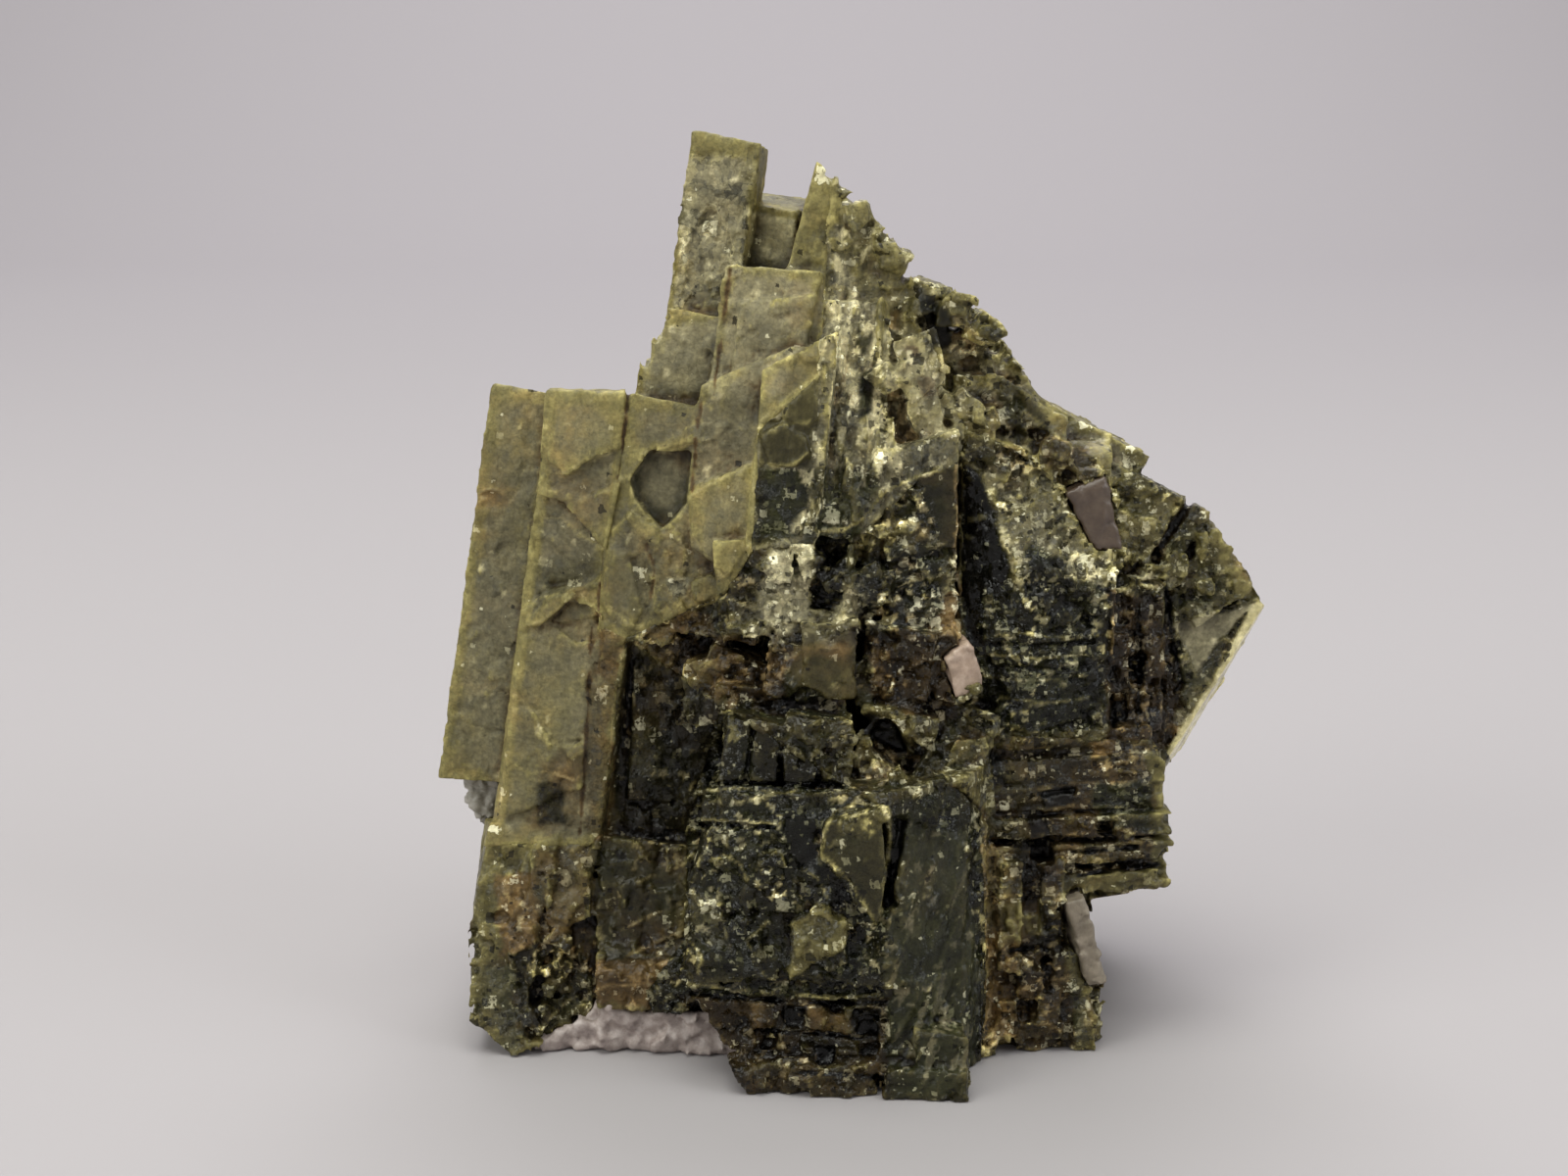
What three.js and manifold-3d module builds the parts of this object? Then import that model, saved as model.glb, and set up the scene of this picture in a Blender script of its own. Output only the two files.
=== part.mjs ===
// A hand-sized diopside specimen: one cluster of intergrown crystals with remnants of pale calcite.
// Millimetres, +Z up, the side that is meant to be looked at faces -Y, and the cluster stands on Z = 0.
import * as THREE from "three";
import { ConvexGeometry } from "three/addons/geometries/ConvexGeometry.js";
import { mergeVertices } from "three/addons/utils/BufferGeometryUtils.js";
import Module from "manifold-3d";

const wasm = await Module();
wasm.setup();

// Driving dimensions of the whole specimen.
const CALCITE_GAP = 0.3; // clearance between the calcite and the crystals round it
const PALE_LEAN = 8.8; // the pale blades all grew in one direction, their tops to the right
const PALE_TURN = -12; // and their faces look a little to the left

const degrees = (a) => (a * Math.PI) / 180;

// A repeatable random number from 0 to 1 for each whole number.
function chance(n) {
  const s = Math.sin(n * 127.1 + 311.7) * 43758.5453;
  return s - Math.floor(s);
}
const between = (low, high, n) => low + (high - low) * chance(n);

// The half-spaces of one crystal: a block whose front lower left corner is at `at`, `size` is
// [width, depth, height], and which is turned to the right, leant to the right and tipped back by degrees.
// `top` and `foot` say how far the end face rises to its right side and to its back, `sides` how far
// the left and the right face move to the right on the way up. A cut is a point and an outward normal.
function facesOf(crystal) {
  const { at, turn = 0, lean = 0, tip = 0, top = [0, 0], foot = [0, 0], sides = [0, 0], cuts = [] } = crystal;
  const [w, d, h] = crystal.size;
  const rotation = new THREE.Matrix4()
    .makeRotationZ(degrees(turn))
    .multiply(new THREE.Matrix4().makeRotationX(degrees(-tip)))
    .multiply(new THREE.Matrix4().makeRotationY(degrees(lean)));
  const corner = new THREE.Vector3(...at);
  const local = [
    [[0, 0, 0], [0, -1, 0]],
    [[0, d, 0], [0, 1, 0]],
    [[0, 0, 0], [-h, 0, sides[0]]],
    [[w, 0, 0], [h, 0, -sides[1]]],
    [[0, 0, 0], [foot[0] / w, foot[1] / d, -1]],
    [[0, 0, h], [-top[0] / w, -top[1] / d, 1]],
  ];
  const planes = local.map(([point, normal]) => {
    const n = new THREE.Vector3(...normal).normalize().applyMatrix4(rotation);
    const p = new THREE.Vector3(...point).applyMatrix4(rotation).add(corner);
    return { n, c: n.dot(p) };
  });
  for (const [point, normal] of cuts) {
    const n = new THREE.Vector3(...normal).normalize();
    planes.push({ n, c: n.dot(new THREE.Vector3(...point)) });
  }
  return planes;
}

// The closed convex solid inside half-spaces, each moved outwards by `grow`.
function solidOf(planes, grow = 0) {
  const corners = [];
  const cross = new THREE.Vector3();
  for (let i = 0; i < planes.length; i++)
    for (let j = i + 1; j < planes.length; j++)
      for (let k = j + 1; k < planes.length; k++) {
        const [a, b, c] = [planes[i], planes[j], planes[k]];
        const volume = a.n.dot(cross.crossVectors(b.n, c.n));
        if (Math.abs(volume) < 1e-6) continue;
        const p = new THREE.Vector3()
          .addScaledVector(new THREE.Vector3().crossVectors(b.n, c.n), (a.c + grow) / volume)
          .addScaledVector(new THREE.Vector3().crossVectors(c.n, a.n), (b.c + grow) / volume)
          .addScaledVector(new THREE.Vector3().crossVectors(a.n, b.n), (c.c + grow) / volume);
        if (planes.every((q) => q.n.dot(p) < q.c + grow + 1e-6)) corners.push(p);
      }
  return manifoldOf(new ConvexGeometry(corners));
}

function manifoldOf(geometry) {
  const bare = geometry.clone();
  bare.deleteAttribute("normal");
  bare.deleteAttribute("uv");
  const merged = mergeVertices(bare, 1e-4);
  const vertProperties = new Float32Array(merged.attributes.position.array);
  const triVerts = new Uint32Array(merged.index.array);
  return new wasm.Manifold(new wasm.Mesh({ numProp: 3, vertProperties, triVerts }));
}

const joined = (solids) => wasm.Manifold.union(solids);

// The largest outer shell of a solid, without what it closes in and without loose bits round it.
const largest = (solid) => solid.decompose().reduce((a, b) => (b.volume() > a.volume() ? b : a));

// A layer on a crystal's front face, from `under` below it to `over` above it. Its outline is drawn as
// seen from the front, in X and Z.
function layerOn(crystal, outline, under, over) {
  const { n, c } = facesOf(crystal)[0];
  const shape = new THREE.Shape(outline.map(([x, z]) => new THREE.Vector2(x, z)));
  const geometry = new THREE.ExtrudeGeometry(shape, { depth: under + over, bevelEnabled: false });
  const position = geometry.attributes.position;
  for (let i = 0; i < position.count; i++) {
    const [x, z, out] = [position.getX(i), position.getY(i), position.getZ(i) - under];
    position.setXYZ(i, x, (c - n.x * x - n.z * z) / n.y - out, z);
  }
  return manifoldOf(geometry);
}

// Small irregular bits along a line from `from` to `to`: as crumbs they are added, as chips taken away.
// `size` is their smallest and largest width, `deep` how long they are from front to back.
function bitsAlong({ from, to, count, size, deep = 1, spread = 0.4, seed }) {
  const [a, b] = [new THREE.Vector3(...from), new THREE.Vector3(...to)];
  return Array.from({ length: count }, (_, i) => {
    const n = seed * 100 + i * 7;
    const width = between(...size, n);
    const place = a.clone().lerp(b, (i + chance(n + 4)) / count);
    place.x += between(-spread, spread, n + 5);
    place.z += between(-spread, spread, n + 6);
    const corners = Array.from({ length: 8 }, (_, k) => (
      new THREE.Vector3(k & 1 ? 0.5 : -0.5, (k & 2 ? 0.5 : -0.5) * deep, k & 4 ? 0.5 : -0.5)
        .multiplyScalar(width * between(0.6, 1.3, n + k * 13))
        .applyAxisAngle(new THREE.Vector3(0, 1, 0), between(0, Math.PI / 2, n + 2))
        .add(place)
    ));
    return manifoldOf(new ConvexGeometry(corners));
  });
}

// A wall broken along two cleavages: blocks in columns and rows, each a little in front of or behind
// the next. `at` is its front lower left corner and `size` its width, depth and height.
function cleavedWall({ at: [x, y, z], size: [w, d, h], columns, rows, relief, turn = 0, lean = 0, seed }) {
  const blocks = [];
  for (let i = 0; i < columns; i++)
    for (let j = 0; j < rows; j++) {
      const n = seed * 100 + i * 11 + j;
      const [across, up] = [(w / columns) * i, (h / rows) * j];
      blocks.push({
        at: [
          x + across * Math.cos(degrees(turn)) + up * Math.sin(degrees(lean)),
          y + across * Math.sin(degrees(turn)) + between(0, relief, n),
          z + up + between(-0.2, 0.2, n + 3) * (h / rows),
        ],
        size: [(w / columns) * 1.08, d, (h / rows) * between(1, 1.25, n + 5)],
        turn: turn + between(-5, 5, n + 7),
        lean,
      });
    }
  return blocks;
}

const pale = (crystal) => ({ turn: PALE_TURN, lean: PALE_LEAN, ...crystal });

// The pale blades of the left side, from the outermost to the ridge. Thin layers lie on their faces,
// and where `layers` has a height below zero a layer has come off.
function paleBlades() {
  return [
    { at: [-28.4, -4.5, 17.7], size: [7, 9, 28], foot: [0.8, 0], top: [0, -2], tip: 3 },
    {
      at: [-24.5, -7.3, 14.8], size: [6.8, 9, 30.9], sides: [0, -0.6], top: [0, -2], tip: 2,
      cuts: [[[-22.1, -6.9, 30], [-0.8, -0.6, 0.12]]],
      layers: [
        [0.35, [[-19.9, 45.2], [-14.6, 45.2], [-15.1, 41.5], [-16.9, 40.8], [-18.5, 39.6], [-20.3, 41]]],
        [-0.4, [[-20.8, 38.3], [-18.8, 37.8], [-16, 34.6], [-16.5, 32.6], [-20, 31.6], [-21.2, 34.5]]],
        [0.5, [[-22, 30.3], [-21, 29.1], [-17.8, 31.9], [-19.1, 31.9], [-20.8, 31.1]]],
        [-0.35, [[-16.5, 30.6], [-18.6, 31.3], [-20, 29.6], [-18.1, 28.2], [-16.6, 28.6]]],
        [0.3, [[-22.9, 23.5], [-21.1, 23.5], [-19.8, 21], [-17.6, 21.5], [-17.8, 18.5], [-23.7, 15.6]]],
      ],
    },
    {
      at: [-17, -8.6, 29.2], size: [5.4, 9, 16.1], foot: [0, 1], top: [0, -2], tip: 2,
      layers: [
        [-1, [[-14.4, 39.4], [-14.1, 38.1], [-12.2, 36.1], [-10.6, 37.8], [-10.2, 41.4], [-13, 41.4]]],
        [0.3, [[-14.5, 37.4], [-12.2, 36], [-12.5, 34.9], [-13.6, 33.9], [-15.3, 35.8]]],
        [0.35, [[-16.5, 31.4], [-15.8, 34.6], [-14.4, 34.7], [-13.6, 30.6], [-14.3, 29.5], [-15.6, 30.1]]],
      ],
    },
    {
      at: [-12.2, -9.6, 29.5], size: [6.4, 9, 16.4], top: [4, 0], tip: 2,
      layers: [
        [0.45, [[-10.4, 38.9], [-9.3, 39.5], [-6.2, 40.7], [-6.5, 36.1], [-8.4, 33.9], [-10.2, 35.2]]],
        [0.4, [[-10.4, 32.9], [-8.8, 33.4], [-8.3, 32.5], [-8.8, 31.6], [-10, 31.6]]],
        [0.3, [[-13.2, 34.9], [-11.3, 36.2], [-10.6, 35], [-10.8, 33], [-12, 32.3], [-12.9, 32.9]]],
        [0.5, [[-12.5, 32.8], [-11.3, 32.3], [-10.5, 30.9], [-11.9, 29.9], [-12.8, 30.8]]],
      ],
    },
    { at: [-14.6, -6.4, 41], size: [5.8, 8, 6], top: [0.3, 0] },
    { at: [-13.9, -6.6, 41.5], size: [5, 8, 7.2] },
    { at: [-13.2, -6.8, 42], size: [4.6, 8, 8.6], top: [0, -1] },
    {
      at: [-9.7, -8.4, 42], size: [6.2, 8, 11.5], top: [0.6, -1],
      layers: [[0.4, [[-7.6, 46.5], [-7.1, 51], [-2.3, 51.6], [-2.6, 48.6], [-4.6, 48], [-5.5, 46.9]]]],
    },
    {
      at: [-13.6, -3.6, 40], size: [4.7, 3.4, 22.2], top: [-0.2, -0.4],
      layers: [[-0.3, [[-11.2, 50.6], [-10.5, 55], [-9, 57.5], [-7.6, 55], [-7.9, 50.8]]]],
    },
    { at: [-9, -2.2, 44], size: [3.8, 5.6, 13.3], top: [0, 0.6] },
  ].map(pale);
}

// The peak at the top and the fibrous ridge that runs down from it, with the olive facets on its left.
function ridgeCrystals() {
  return [
    {
      at: [-5.2, -8, 44], size: [10.6, 9, 16.5],
      cuts: [
        [[-2.1, -8, 59.9], [-0.965, 0.05, 0.263]],
        [[-2.1, -8, 59.9], [0.66, 0.06, 0.76]],
        [[1.6, -8, 56.3], [0.92, 0.05, 0.4]],
      ],
    },
    { at: [-3.6, -12.4, 36.6], size: [6, 9, 15], turn: 8, lean: 3, tip: 12, top: [0, 1] },
    {
      at: [-6.7, -12.2, 35.4], size: [4.6, 8, 11.5], turn: -6, lean: 5, tip: 4, top: [3, 0],
      layers: [
        [0.5, [[-5.8, 42.9], [-4.2, 43.5], [-2.8, 42.7], [-2.6, 41.5], [-3.8, 40.8], [-5.1, 41]]],
        [0.4, [[-4.4, 44.6], [-2.2, 46.5], [-2.1, 44], [-2.9, 43.2], [-4.1, 43.9]]],
      ],
    },
    { at: [-0.5, -11, 40.5], size: [7.5, 9, 9.5], turn: 18, tip: 16, top: [-3, 0] },
  ];
}

// The fibres of the ridge, long thin splinters side by side.
function ridgeFibres() {
  return Array.from({ length: 18 }, (_, i) => {
    const x = -3.4 + 0.36 * i;
    const z = between(36.6, 47.5, i + 40);
    const face = -12.5 + 0.14 * (x + 3.6) + 0.21 * (z - 36.6);
    return {
      at: [x, face - between(0.1, 0.45, i + 80), z],
      size: [between(0.3, 0.7, i), 2, between(2.2, 4.8, i + 20)],
      turn: between(-10, 25, i + 60), lean: between(1, 6, i), tip: 12, top: [between(-0.5, 0.5, i + 9), 0],
    };
  });
}

// The long slope down to the right: dark crystals in steps, then the pale prism that lies along it.
function slopeCrystals() {
  return [
    {
      at: [2, -5.5, 38], size: [11.5, 11, 14.5],
      cuts: [
        [[4.4, -5, 51.4], [0.47, 0.05, 0.88]],
        [[10.2, -5, 48.6], [0.85, 0, 0.53]],
      ],
    },
    { at: [7, -7, 36], size: [7.5, 9, 10], cuts: [[[12.3, -7, 44.6], [0.55, 0.05, 0.83]]] },
    { at: [12, -5.2, 44.8], size: [2.7, 8, 9.7], lean: 118, turn: 4 },
    { at: [10.6, -6.5, 43], size: [2.2, 7, 7.6], lean: 118, turn: 2 },
    { at: [10.4, -6.1, 41.4], size: [3.2, 7, 9.4], lean: 124, turn: 6 },
  ];
}

// The dark middle: a crystal with a striped face, a cleft, and the wide pitted crystal right of it.
function middleCrystals() {
  const sharpEdge = [7.6, -8.8, 40.7];
  const edgeFoot = [11.7, -11, 32.3];
  return [
    { at: [2.3, -11.2, 26.5], size: [4.8, 9, 15], turn: 4, top: [1.5, 0] },
    {
      at: [7.4, -12, 21.5], size: [10.3, 10, 20],
      cuts: [
        [sharpEdge, [-0.47, -0.88, 0]],
        [edgeFoot, [0.19, -0.92, 0.34]],
        [edgeFoot, [0.2, -0.98, 0]],
        [sharpEdge, [0.1, -0.5, 0.87]],
      ],
    },
    { at: [13, -8.8, 22], size: [5, 9, 16.5], turn: 6 },
  ];
}

// Broken crystals between the ridge and the front crystal.
function rubble() {
  return [
    { at: [-8.4, -11.6, 29.6], size: [9, 8, 6.2], turn: -4, lean: -4 },
    { at: [-7.9, -12.4, 29.8], size: [5.2, 6, 2.2], turn: 4, lean: 3 },
    { at: [-2.9, -13.2, 25.6], size: [3.4, 7, 5], turn: 3, top: [0.3, -0.6] },
    { at: [-5.8, -12.4, 26], size: [3.2, 7, 3.6], turn: -8, lean: 14 },
    { at: [0.4, -11.6, 25], size: [4.6, 7, 5.6], turn: -14, lean: 9 },
    { at: [-10.2, -10.8, 26.2], size: [5.4, 7, 3], lean: 26, turn: -5 },
    { at: [-10.6, -10.4, 23], size: [3.4, 7, 4.4], lean: -8, turn: -16 },
    { at: [-8.9, -12.6, 24.2], size: [8.6, 7, 2.4], lean: 6, turn: 3 },
    { at: [0.2, -13.2, 20], size: [5, 8, 5.2], turn: -6, lean: 8 },
    { at: [3.8, -12.2, 20], size: [5.4, 8, 5.4], turn: 12, lean: 14 },
    { at: [6, -12.8, 16.6], size: [4.3, 8, 6], turn: 18, lean: -9, top: [-0.6, 0] },
    { at: [4.6, -11.6, 23.6], size: [5, 8, 4.6], turn: -16, lean: -30 },
    { at: [0.6, -15.2, 17.4], size: [6.6, 8, 3.4], turn: 24, tip: 34 },
  ];
}

// The dark steps above the front crystal, and the front crystal with its bevelled right side.
function frontCrystals() {
  const bevel = [[2.4, -18, 10], [0.5, -0.86, 0.02]];
  const leftSlant = [[-8, -17, 2.4], [-0.86, 0, -0.5]];
  return [
    { at: [-8.5, -15.5, 19.9], size: [3.7, 8, 5.2], lean: 7, turn: -6, tip: 4 },
    { at: [-4.6, -15.8, 19.9], size: [2.2, 8, 5.3], lean: 6, turn: -3, tip: 4 },
    { at: [-2.5, -15.5, 19.9], size: [2.6, 8, 5], lean: 5, turn: 6, tip: 4 },
    { at: [-9.6, -15.2, 17.4], size: [8.8, 8, 2], turn: -6 },
    {
      at: [-10.6, -15.9, 7.6], size: [21, 14, 12.2], turn: -9, tip: 2, top: [1.5, 0],
      cuts: [bevel, [[7.6, -15, 10], [0.9, -0.44, 0]], [[-9, -16, 18], [-0.95, 0, 0.3]]],
      layers: [
        [1.1, [[-1.6, 18.8], [2.3, 20], [2.5, 18.1], [1.7, 12.5], [0.8, 13.1], [-1.1, 15.6], [-1.8, 16.8]]],
        [0.7, [[-3.7, 11.7], [-1.8, 13.1], [-1, 12.3], [0.2, 11.9], [-0.3, 9.6], [-1.3, 8.6], [-3.2, 9.9]]],
        [0.35, [[-6.2, 15.5], [-4.8, 16.5], [-4.1, 15.7], [-4.3, 14.1], [-5.8, 14.3]]],
        [0.3, [[-10.2, 8.4], [-8.4, 9.9], [-6.8, 8.6], [-4.8, 9.4], [-4.2, 7.8], [-10.2, 7.2]]],
        [0.3, [[-8.8, 15.5], [-6.4, 16.6], [-6.1, 14.3], [-6.7, 11.6], [-8.3, 12.5]]],
      ],
    },
    {
      at: [-11.2, -15.2, 2.4], size: [21, 13, 5.4], turn: -7,
      cuts: [leftSlant, [[4.7, -16.9, 4], [0.5, -0.86, 0]], [[7.8, -15, 10], [0.9, -0.44, 0]]],
      layers: [
        [0.4, [[-6.8, 6.4], [-5, 6.8], [-4.6, 3.8], [-6, 3.2]]],
        [0.5, [[-3.6, 6.9], [-1.4, 6.6], [-1.8, 4], [-3.2, 4.6]]],
        [0.45, [[-0.4, 6.4], [1.8, 6.8], [2.2, 4.2], [0.2, 3.6]]],
      ],
    },
    { at: [-8.3, -17.5, -0.5], size: [16.1, 12, 2.6], turn: -4, cuts: [leftSlant] },
    { at: [-7, -16.6, 1], size: [14.6, 12, 2], turn: -4, cuts: [leftSlant] },
    { at: [4.6, -18.1, -0.5], size: [3.4, 8, 5.3], turn: 5, lean: -3, top: [-0.8, 0] },
    ...cleavedWall({
      at: [7, -15.2, -0.5], size: [3, 6, 17], columns: 2, rows: 7, relief: 0.9,
      turn: 42, seed: 3,
    }),
  ];
}

// The right-hand crystal with its point to the right, a thin plate behind it, and columns on its left.
function rightCrystals() {
  return [
    {
      at: [15, -5.6, 18], size: [14.6, 12, 23],
      cuts: [
        [[20.4, -5, 38.8], [0.46, 0.05, 0.886]],
        [[24.6, -5, 36.6], [0.84, 0, 0.54]],
        [[28.6, -5, 30.1], [0.84, -0.36, -0.47]],
        [[28.5, -2.5, 30], [0.8, 0.6, 0]],
      ],
      layers: [[-0.8, [[22.9, 30.2], [24, 28.6], [31, 34], [30, 24], [22, 20], [22.6, 27]]]],
    },
    { at: [15, -6.4, 29.5], size: [6.4, 8, 8.4], lean: 6, turn: 4, top: [-1.4, 0] },
    {
      at: [19.5, 1.5, 17.2], size: [9.5, 6, 11.3],
      cuts: [[[27.2, 2, 22.4], [0.82, -0.1, -0.56]], [[27.3, 2, 24], [0.9, 0, 0.42]]],
    },
    ...cleavedWall({
      at: [16.6, -8.8, 21.5], size: [5.2, 8, 10.6], columns: 4, rows: 3,
      relief: 1.4, turn: 14, seed: 5,
    }),
  ];
}

// The stack of thin plates, split along the cleavage, and the broken wall under it.
function stackCrystals() {
  const plates = [
    { z: 11.2, thick: 1.4, front: -10.5, left: 12.2, right: 22.1 },
    { z: 12.6, thick: 0.7, front: -9.4, left: 10.4, right: 21.8 },
    { z: 13.3, thick: 1.3, front: -10.7, left: 9.6, right: 22.2 },
    { z: 14.6, thick: 0.5, front: -9.7, left: 9.6, right: 21.9 },
    { z: 15.1, thick: 1.5, front: -10.9, left: 9.6, right: 22 },
    { z: 16.6, thick: 0.5, front: -10.2, left: 9.4, right: 21.6 },
    { z: 17.1, thick: 3.6, front: -10.6, left: 9.2, right: 21.4 },
    { z: 20.6, thick: 1.8, front: -10.1, left: 8.8, right: 20.6 },
  ];
  return [
    ...plates.map(({ z, thick, front, left, right }) => (
      { at: [left, front, z], size: [right - left, 13, thick + 0.02], lean: -1.5, turn: 3 }
    )),
    { at: [8.8, -9.8, -1], size: [7.4, 10, 14.5], turn: 3, cuts: [[[16.2, -9, 11.2], [0.96, 0, 0.26]]] },
    { at: [12, -9.3, -1], size: [5.8, 10, 8], turn: 3, cuts: [[[17.7, -9, 4.5], [0.96, 0, 0.26]]] },
    ...cleavedWall({
      at: [8.8, -12, -1], size: [5.8, 6, 15], columns: 4, rows: 6, relief: 1.7,
      turn: 3, seed: 7,
    }),
    ...cleavedWall({
      at: [14.2, -11.6, -1], size: [3, 6, 8.4], columns: 2, rows: 4, relief: 1.2,
      turn: 6, seed: 8,
    }),
  ];
}

// The lower left: the recessed brown block, the fin beside it, and the rounded lobe that leans back.
function lowerLeftCrystals() {
  return [
    { at: [-18.4, -7.2, 5], size: [11, 9, 26] },
    { at: [-14.9, -7.9, 17], size: [5.4, 7, 11.6], turn: 5, lean: 4 },
    { at: [-18.7, -8.4, 13], size: [1.7, 7, 17], lean: 8.8, turn: -12 },
    { at: [-17.8, -9.9, 3.6], size: [8.4, 8, 11.2], turn: -4, lean: 5, tip: 9, foot: [-0.6, 0] },
    {
      at: [-19.2, -11.2, 3.5], size: [10, 6, 4.4], turn: -4, lean: 2,
      cuts: [[[-14, -11.2, 6.2], [0, -0.6, 0.8]]],
    },
    {
      at: [-25.7, -12, -1], size: [8.2, 11, 17], turn: -2, tip: 14,
      cuts: [
        [[-23.9, -10, 16], [-0.97, -0.15, 0.22]],
        [[-25.2, -12, 2.2], [-0.66, -0.1, -0.75]],
        [[-18.9, -12, 6], [0.7, -0.7, 0]],
        [[-22.6, -12, 0], [0.45, 0, -0.89]],
        [[-24, -8, 15.9], [0, -0.1, 1]],
      ],
      layers: [
        [-1.6, [[-22, 1], [-21.6, 4.6], [-19.4, 8.4], [-17, 9.4], [-17, 1]]],
        [0.4, [[-21.2, 14.6], [-19.6, 14.8], [-19.8, 11.6], [-21, 8], [-23.4, 8.6], [-21.6, 11.2]]],
      ],
    },
    { at: [-25.6, -9.4, 1.8], size: [5, 8, 7], lean: -3, turn: -20 },
  ];
}

// The side that the front hides: more blades in the same direction, shorter towards both sides.
function backCrystals() {
  return [
    { at: [-24.6, 3, -1], size: [7, 8, 33], tip: -2 },
    { at: [-21.4, 6, -1], size: [7.4, 8.5, 38], tip: -3 },
    { at: [-15.4, 7.4, 11], size: [8, 8, 34], tip: -3 },
    { at: [-9.4, 6, 12], size: [8.5, 9, 38], tip: -3 },
    { at: [-3, 8.4, 8], size: [8.5, 8, 33], tip: -3, top: [-3, 0] },
    { at: [3.4, 7, -1], size: [8, 9, 36], tip: -2, top: [-3, 0] },
    { at: [9.6, 5, -1], size: [7.4, 8, 25], tip: -2 },
    { at: [14.5, 3, 6], size: [6.6, 7, 16] },
  ].map(pale);
}

// What the crystals grow out of, inside the specimen.
function core() {
  return [
    { at: [-19, -6, 5], size: [33, 15, 27] },
    { at: [-9, -5.5, 30], size: [17, 14, 16] },
    { at: [8, -5, 13], size: [12, 12, 21] },
  ];
}

const crystals = [
  ...paleBlades(), ...ridgeCrystals(), ...ridgeFibres(), ...slopeCrystals(), ...middleCrystals(),
  ...rubble(), ...frontCrystals(), ...rightCrystals(), ...stackCrystals(), ...lowerLeftCrystals(),
  ...backCrystals(), ...core(),
];

// Hollows that open to the front, each as the crystal that would fill it.
const hollows = [
  { at: [-2.5, -14, 31.4], size: [2.2, 6, 4.8], lean: 4 },
  { at: [0.9, -15, 22], size: [3.2, 4, 2.3], turn: -10, lean: 32 },
  { at: [4, -12, 49.4], size: [2, 8, 4.6], lean: -28, turn: -20 },
  { at: [-7.2, -19, 2.2], size: [11, 2.6, 0.45], turn: -4 },
  { at: [2.2, -19, 0.7], size: [2.4, 2, 0.4], turn: -4 },
  { at: [2.6, -19, 12.8], size: [1.3, 3.2, 6.4], turn: 30, lean: -4 },
  { at: [12.4, -12, 13.5], size: [1.6, 3, 1.6] },
  { at: [16.8, -12, 15.4], size: [1.3, 3, 1.1] },
  { at: [22.8, -8, 33.6], size: [0.7, 3.4, 4.4], lean: 32 },
];

// The crumbly edges of the dark crystals.
function crumbs() {
  return [
    { from: [0.5, -7.4, 57.2], to: [3.6, -6, 52.6], count: 6, size: [0.8, 1.6], deep: 3, seed: 1 },
    {
      from: [3.6, -5.4, 51.8], to: [10.2, -5.2, 48.6], count: 8, size: [0.9, 2],
      deep: 3, spread: 0.6, seed: 2,
    },
    {
      from: [2.6, -9.8, 47.5], to: [9.6, -7.6, 42.4], count: 11, size: [1, 2.4],
      deep: 1.2, spread: 1.6, seed: 3,
    },
    {
      from: [9.6, -7.4, 42.4], to: [16.8, -7.2, 38], count: 9, size: [0.9, 1.9],
      deep: 1.4, spread: 1.1, seed: 4,
    },
    { from: [-7.4, -12.8, 34.6], to: [4.2, -11.8, 32.8], count: 11, size: [0.9, 1.9], spread: 1.2, seed: 5 },
    { from: [2.4, -15.6, 20.6], to: [8.6, -13.4, 20.2], count: 6, size: [0.9, 1.7], spread: 0.8, seed: 6 },
    { from: [17.6, -6.2, 32], to: [25.4, -5.8, 33], count: 10, size: [0.8, 1.7], spread: 2.2, seed: 7 },
    { from: [-20.4, -10.4, 3.4], to: [-18.2, -9.6, 8], count: 8, size: [0.8, 1.5], spread: 1, seed: 8 },
    { from: [-9.4, -14.6, 9.6], to: [-6, -15.8, 17], count: 7, size: [0.8, 1.4], spread: 1.1, seed: 9 },
  ].flatMap(bitsAlong);
}

// Nicks in the long edges.
function chips() {
  return [
    {
      from: [-1.4, -6, 59.5], to: [4.6, -5, 51.8], count: 9, size: [0.6, 1.1],
      deep: 9, spread: 0.2, seed: 21,
    },
    {
      from: [4.8, -5, 51.4], to: [11.4, -5, 46.6], count: 7, size: [0.6, 1.2],
      deep: 12, spread: 0.2, seed: 22,
    },
    { from: [24.6, -5, 37], to: [29, -5, 30.4], count: 9, size: [0.5, 1], deep: 10, spread: 0.15, seed: 23 },
    {
      from: [-26.2, -4.5, 30], to: [-28.2, -4.5, 18], count: 4, size: [0.3, 0.5],
      deep: 3, spread: 0.1, seed: 24,
    },
    {
      from: [-13.7, -6.6, 46], to: [-11.9, -6.6, 50], count: 3, size: [0.4, 0.7],
      deep: 4, spread: 0.1, seed: 25,
    },
    {
      from: [-10.4, -15.8, 7.4], to: [2.4, -18, 7.4], count: 8, size: [0.5, 1.1],
      deep: 1.2, spread: 0.2, seed: 26,
    },
    { from: [2.5, -18, 8], to: [2.5, -18, 18], count: 5, size: [0.4, 0.9], deep: 1, spread: 0.2, seed: 27 },
    {
      from: [9.4, -10.9, 11.2], to: [22, -10, 11.2], count: 6, size: [0.6, 1.2],
      deep: 1.5, spread: 0.3, seed: 28,
    },
    {
      from: [21.8, -10.4, 11.5], to: [21.4, -10.2, 22], count: 6, size: [0.6, 1.3],
      deep: 3, spread: 0.3, seed: 29,
    },
    {
      from: [-25.4, -11, 3], to: [-25.2, -9, 12], count: 6, size: [0.4, 0.9],
      deep: 3, spread: 0.3, seed: 30,
    },
    {
      from: [17.6, -10.6, 0.6], to: [16.4, -10.2, 11], count: 8, size: [0.5, 1.2],
      deep: 4, spread: 0.3, seed: 31,
    },
  ].flatMap(bitsAlong);
}

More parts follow.
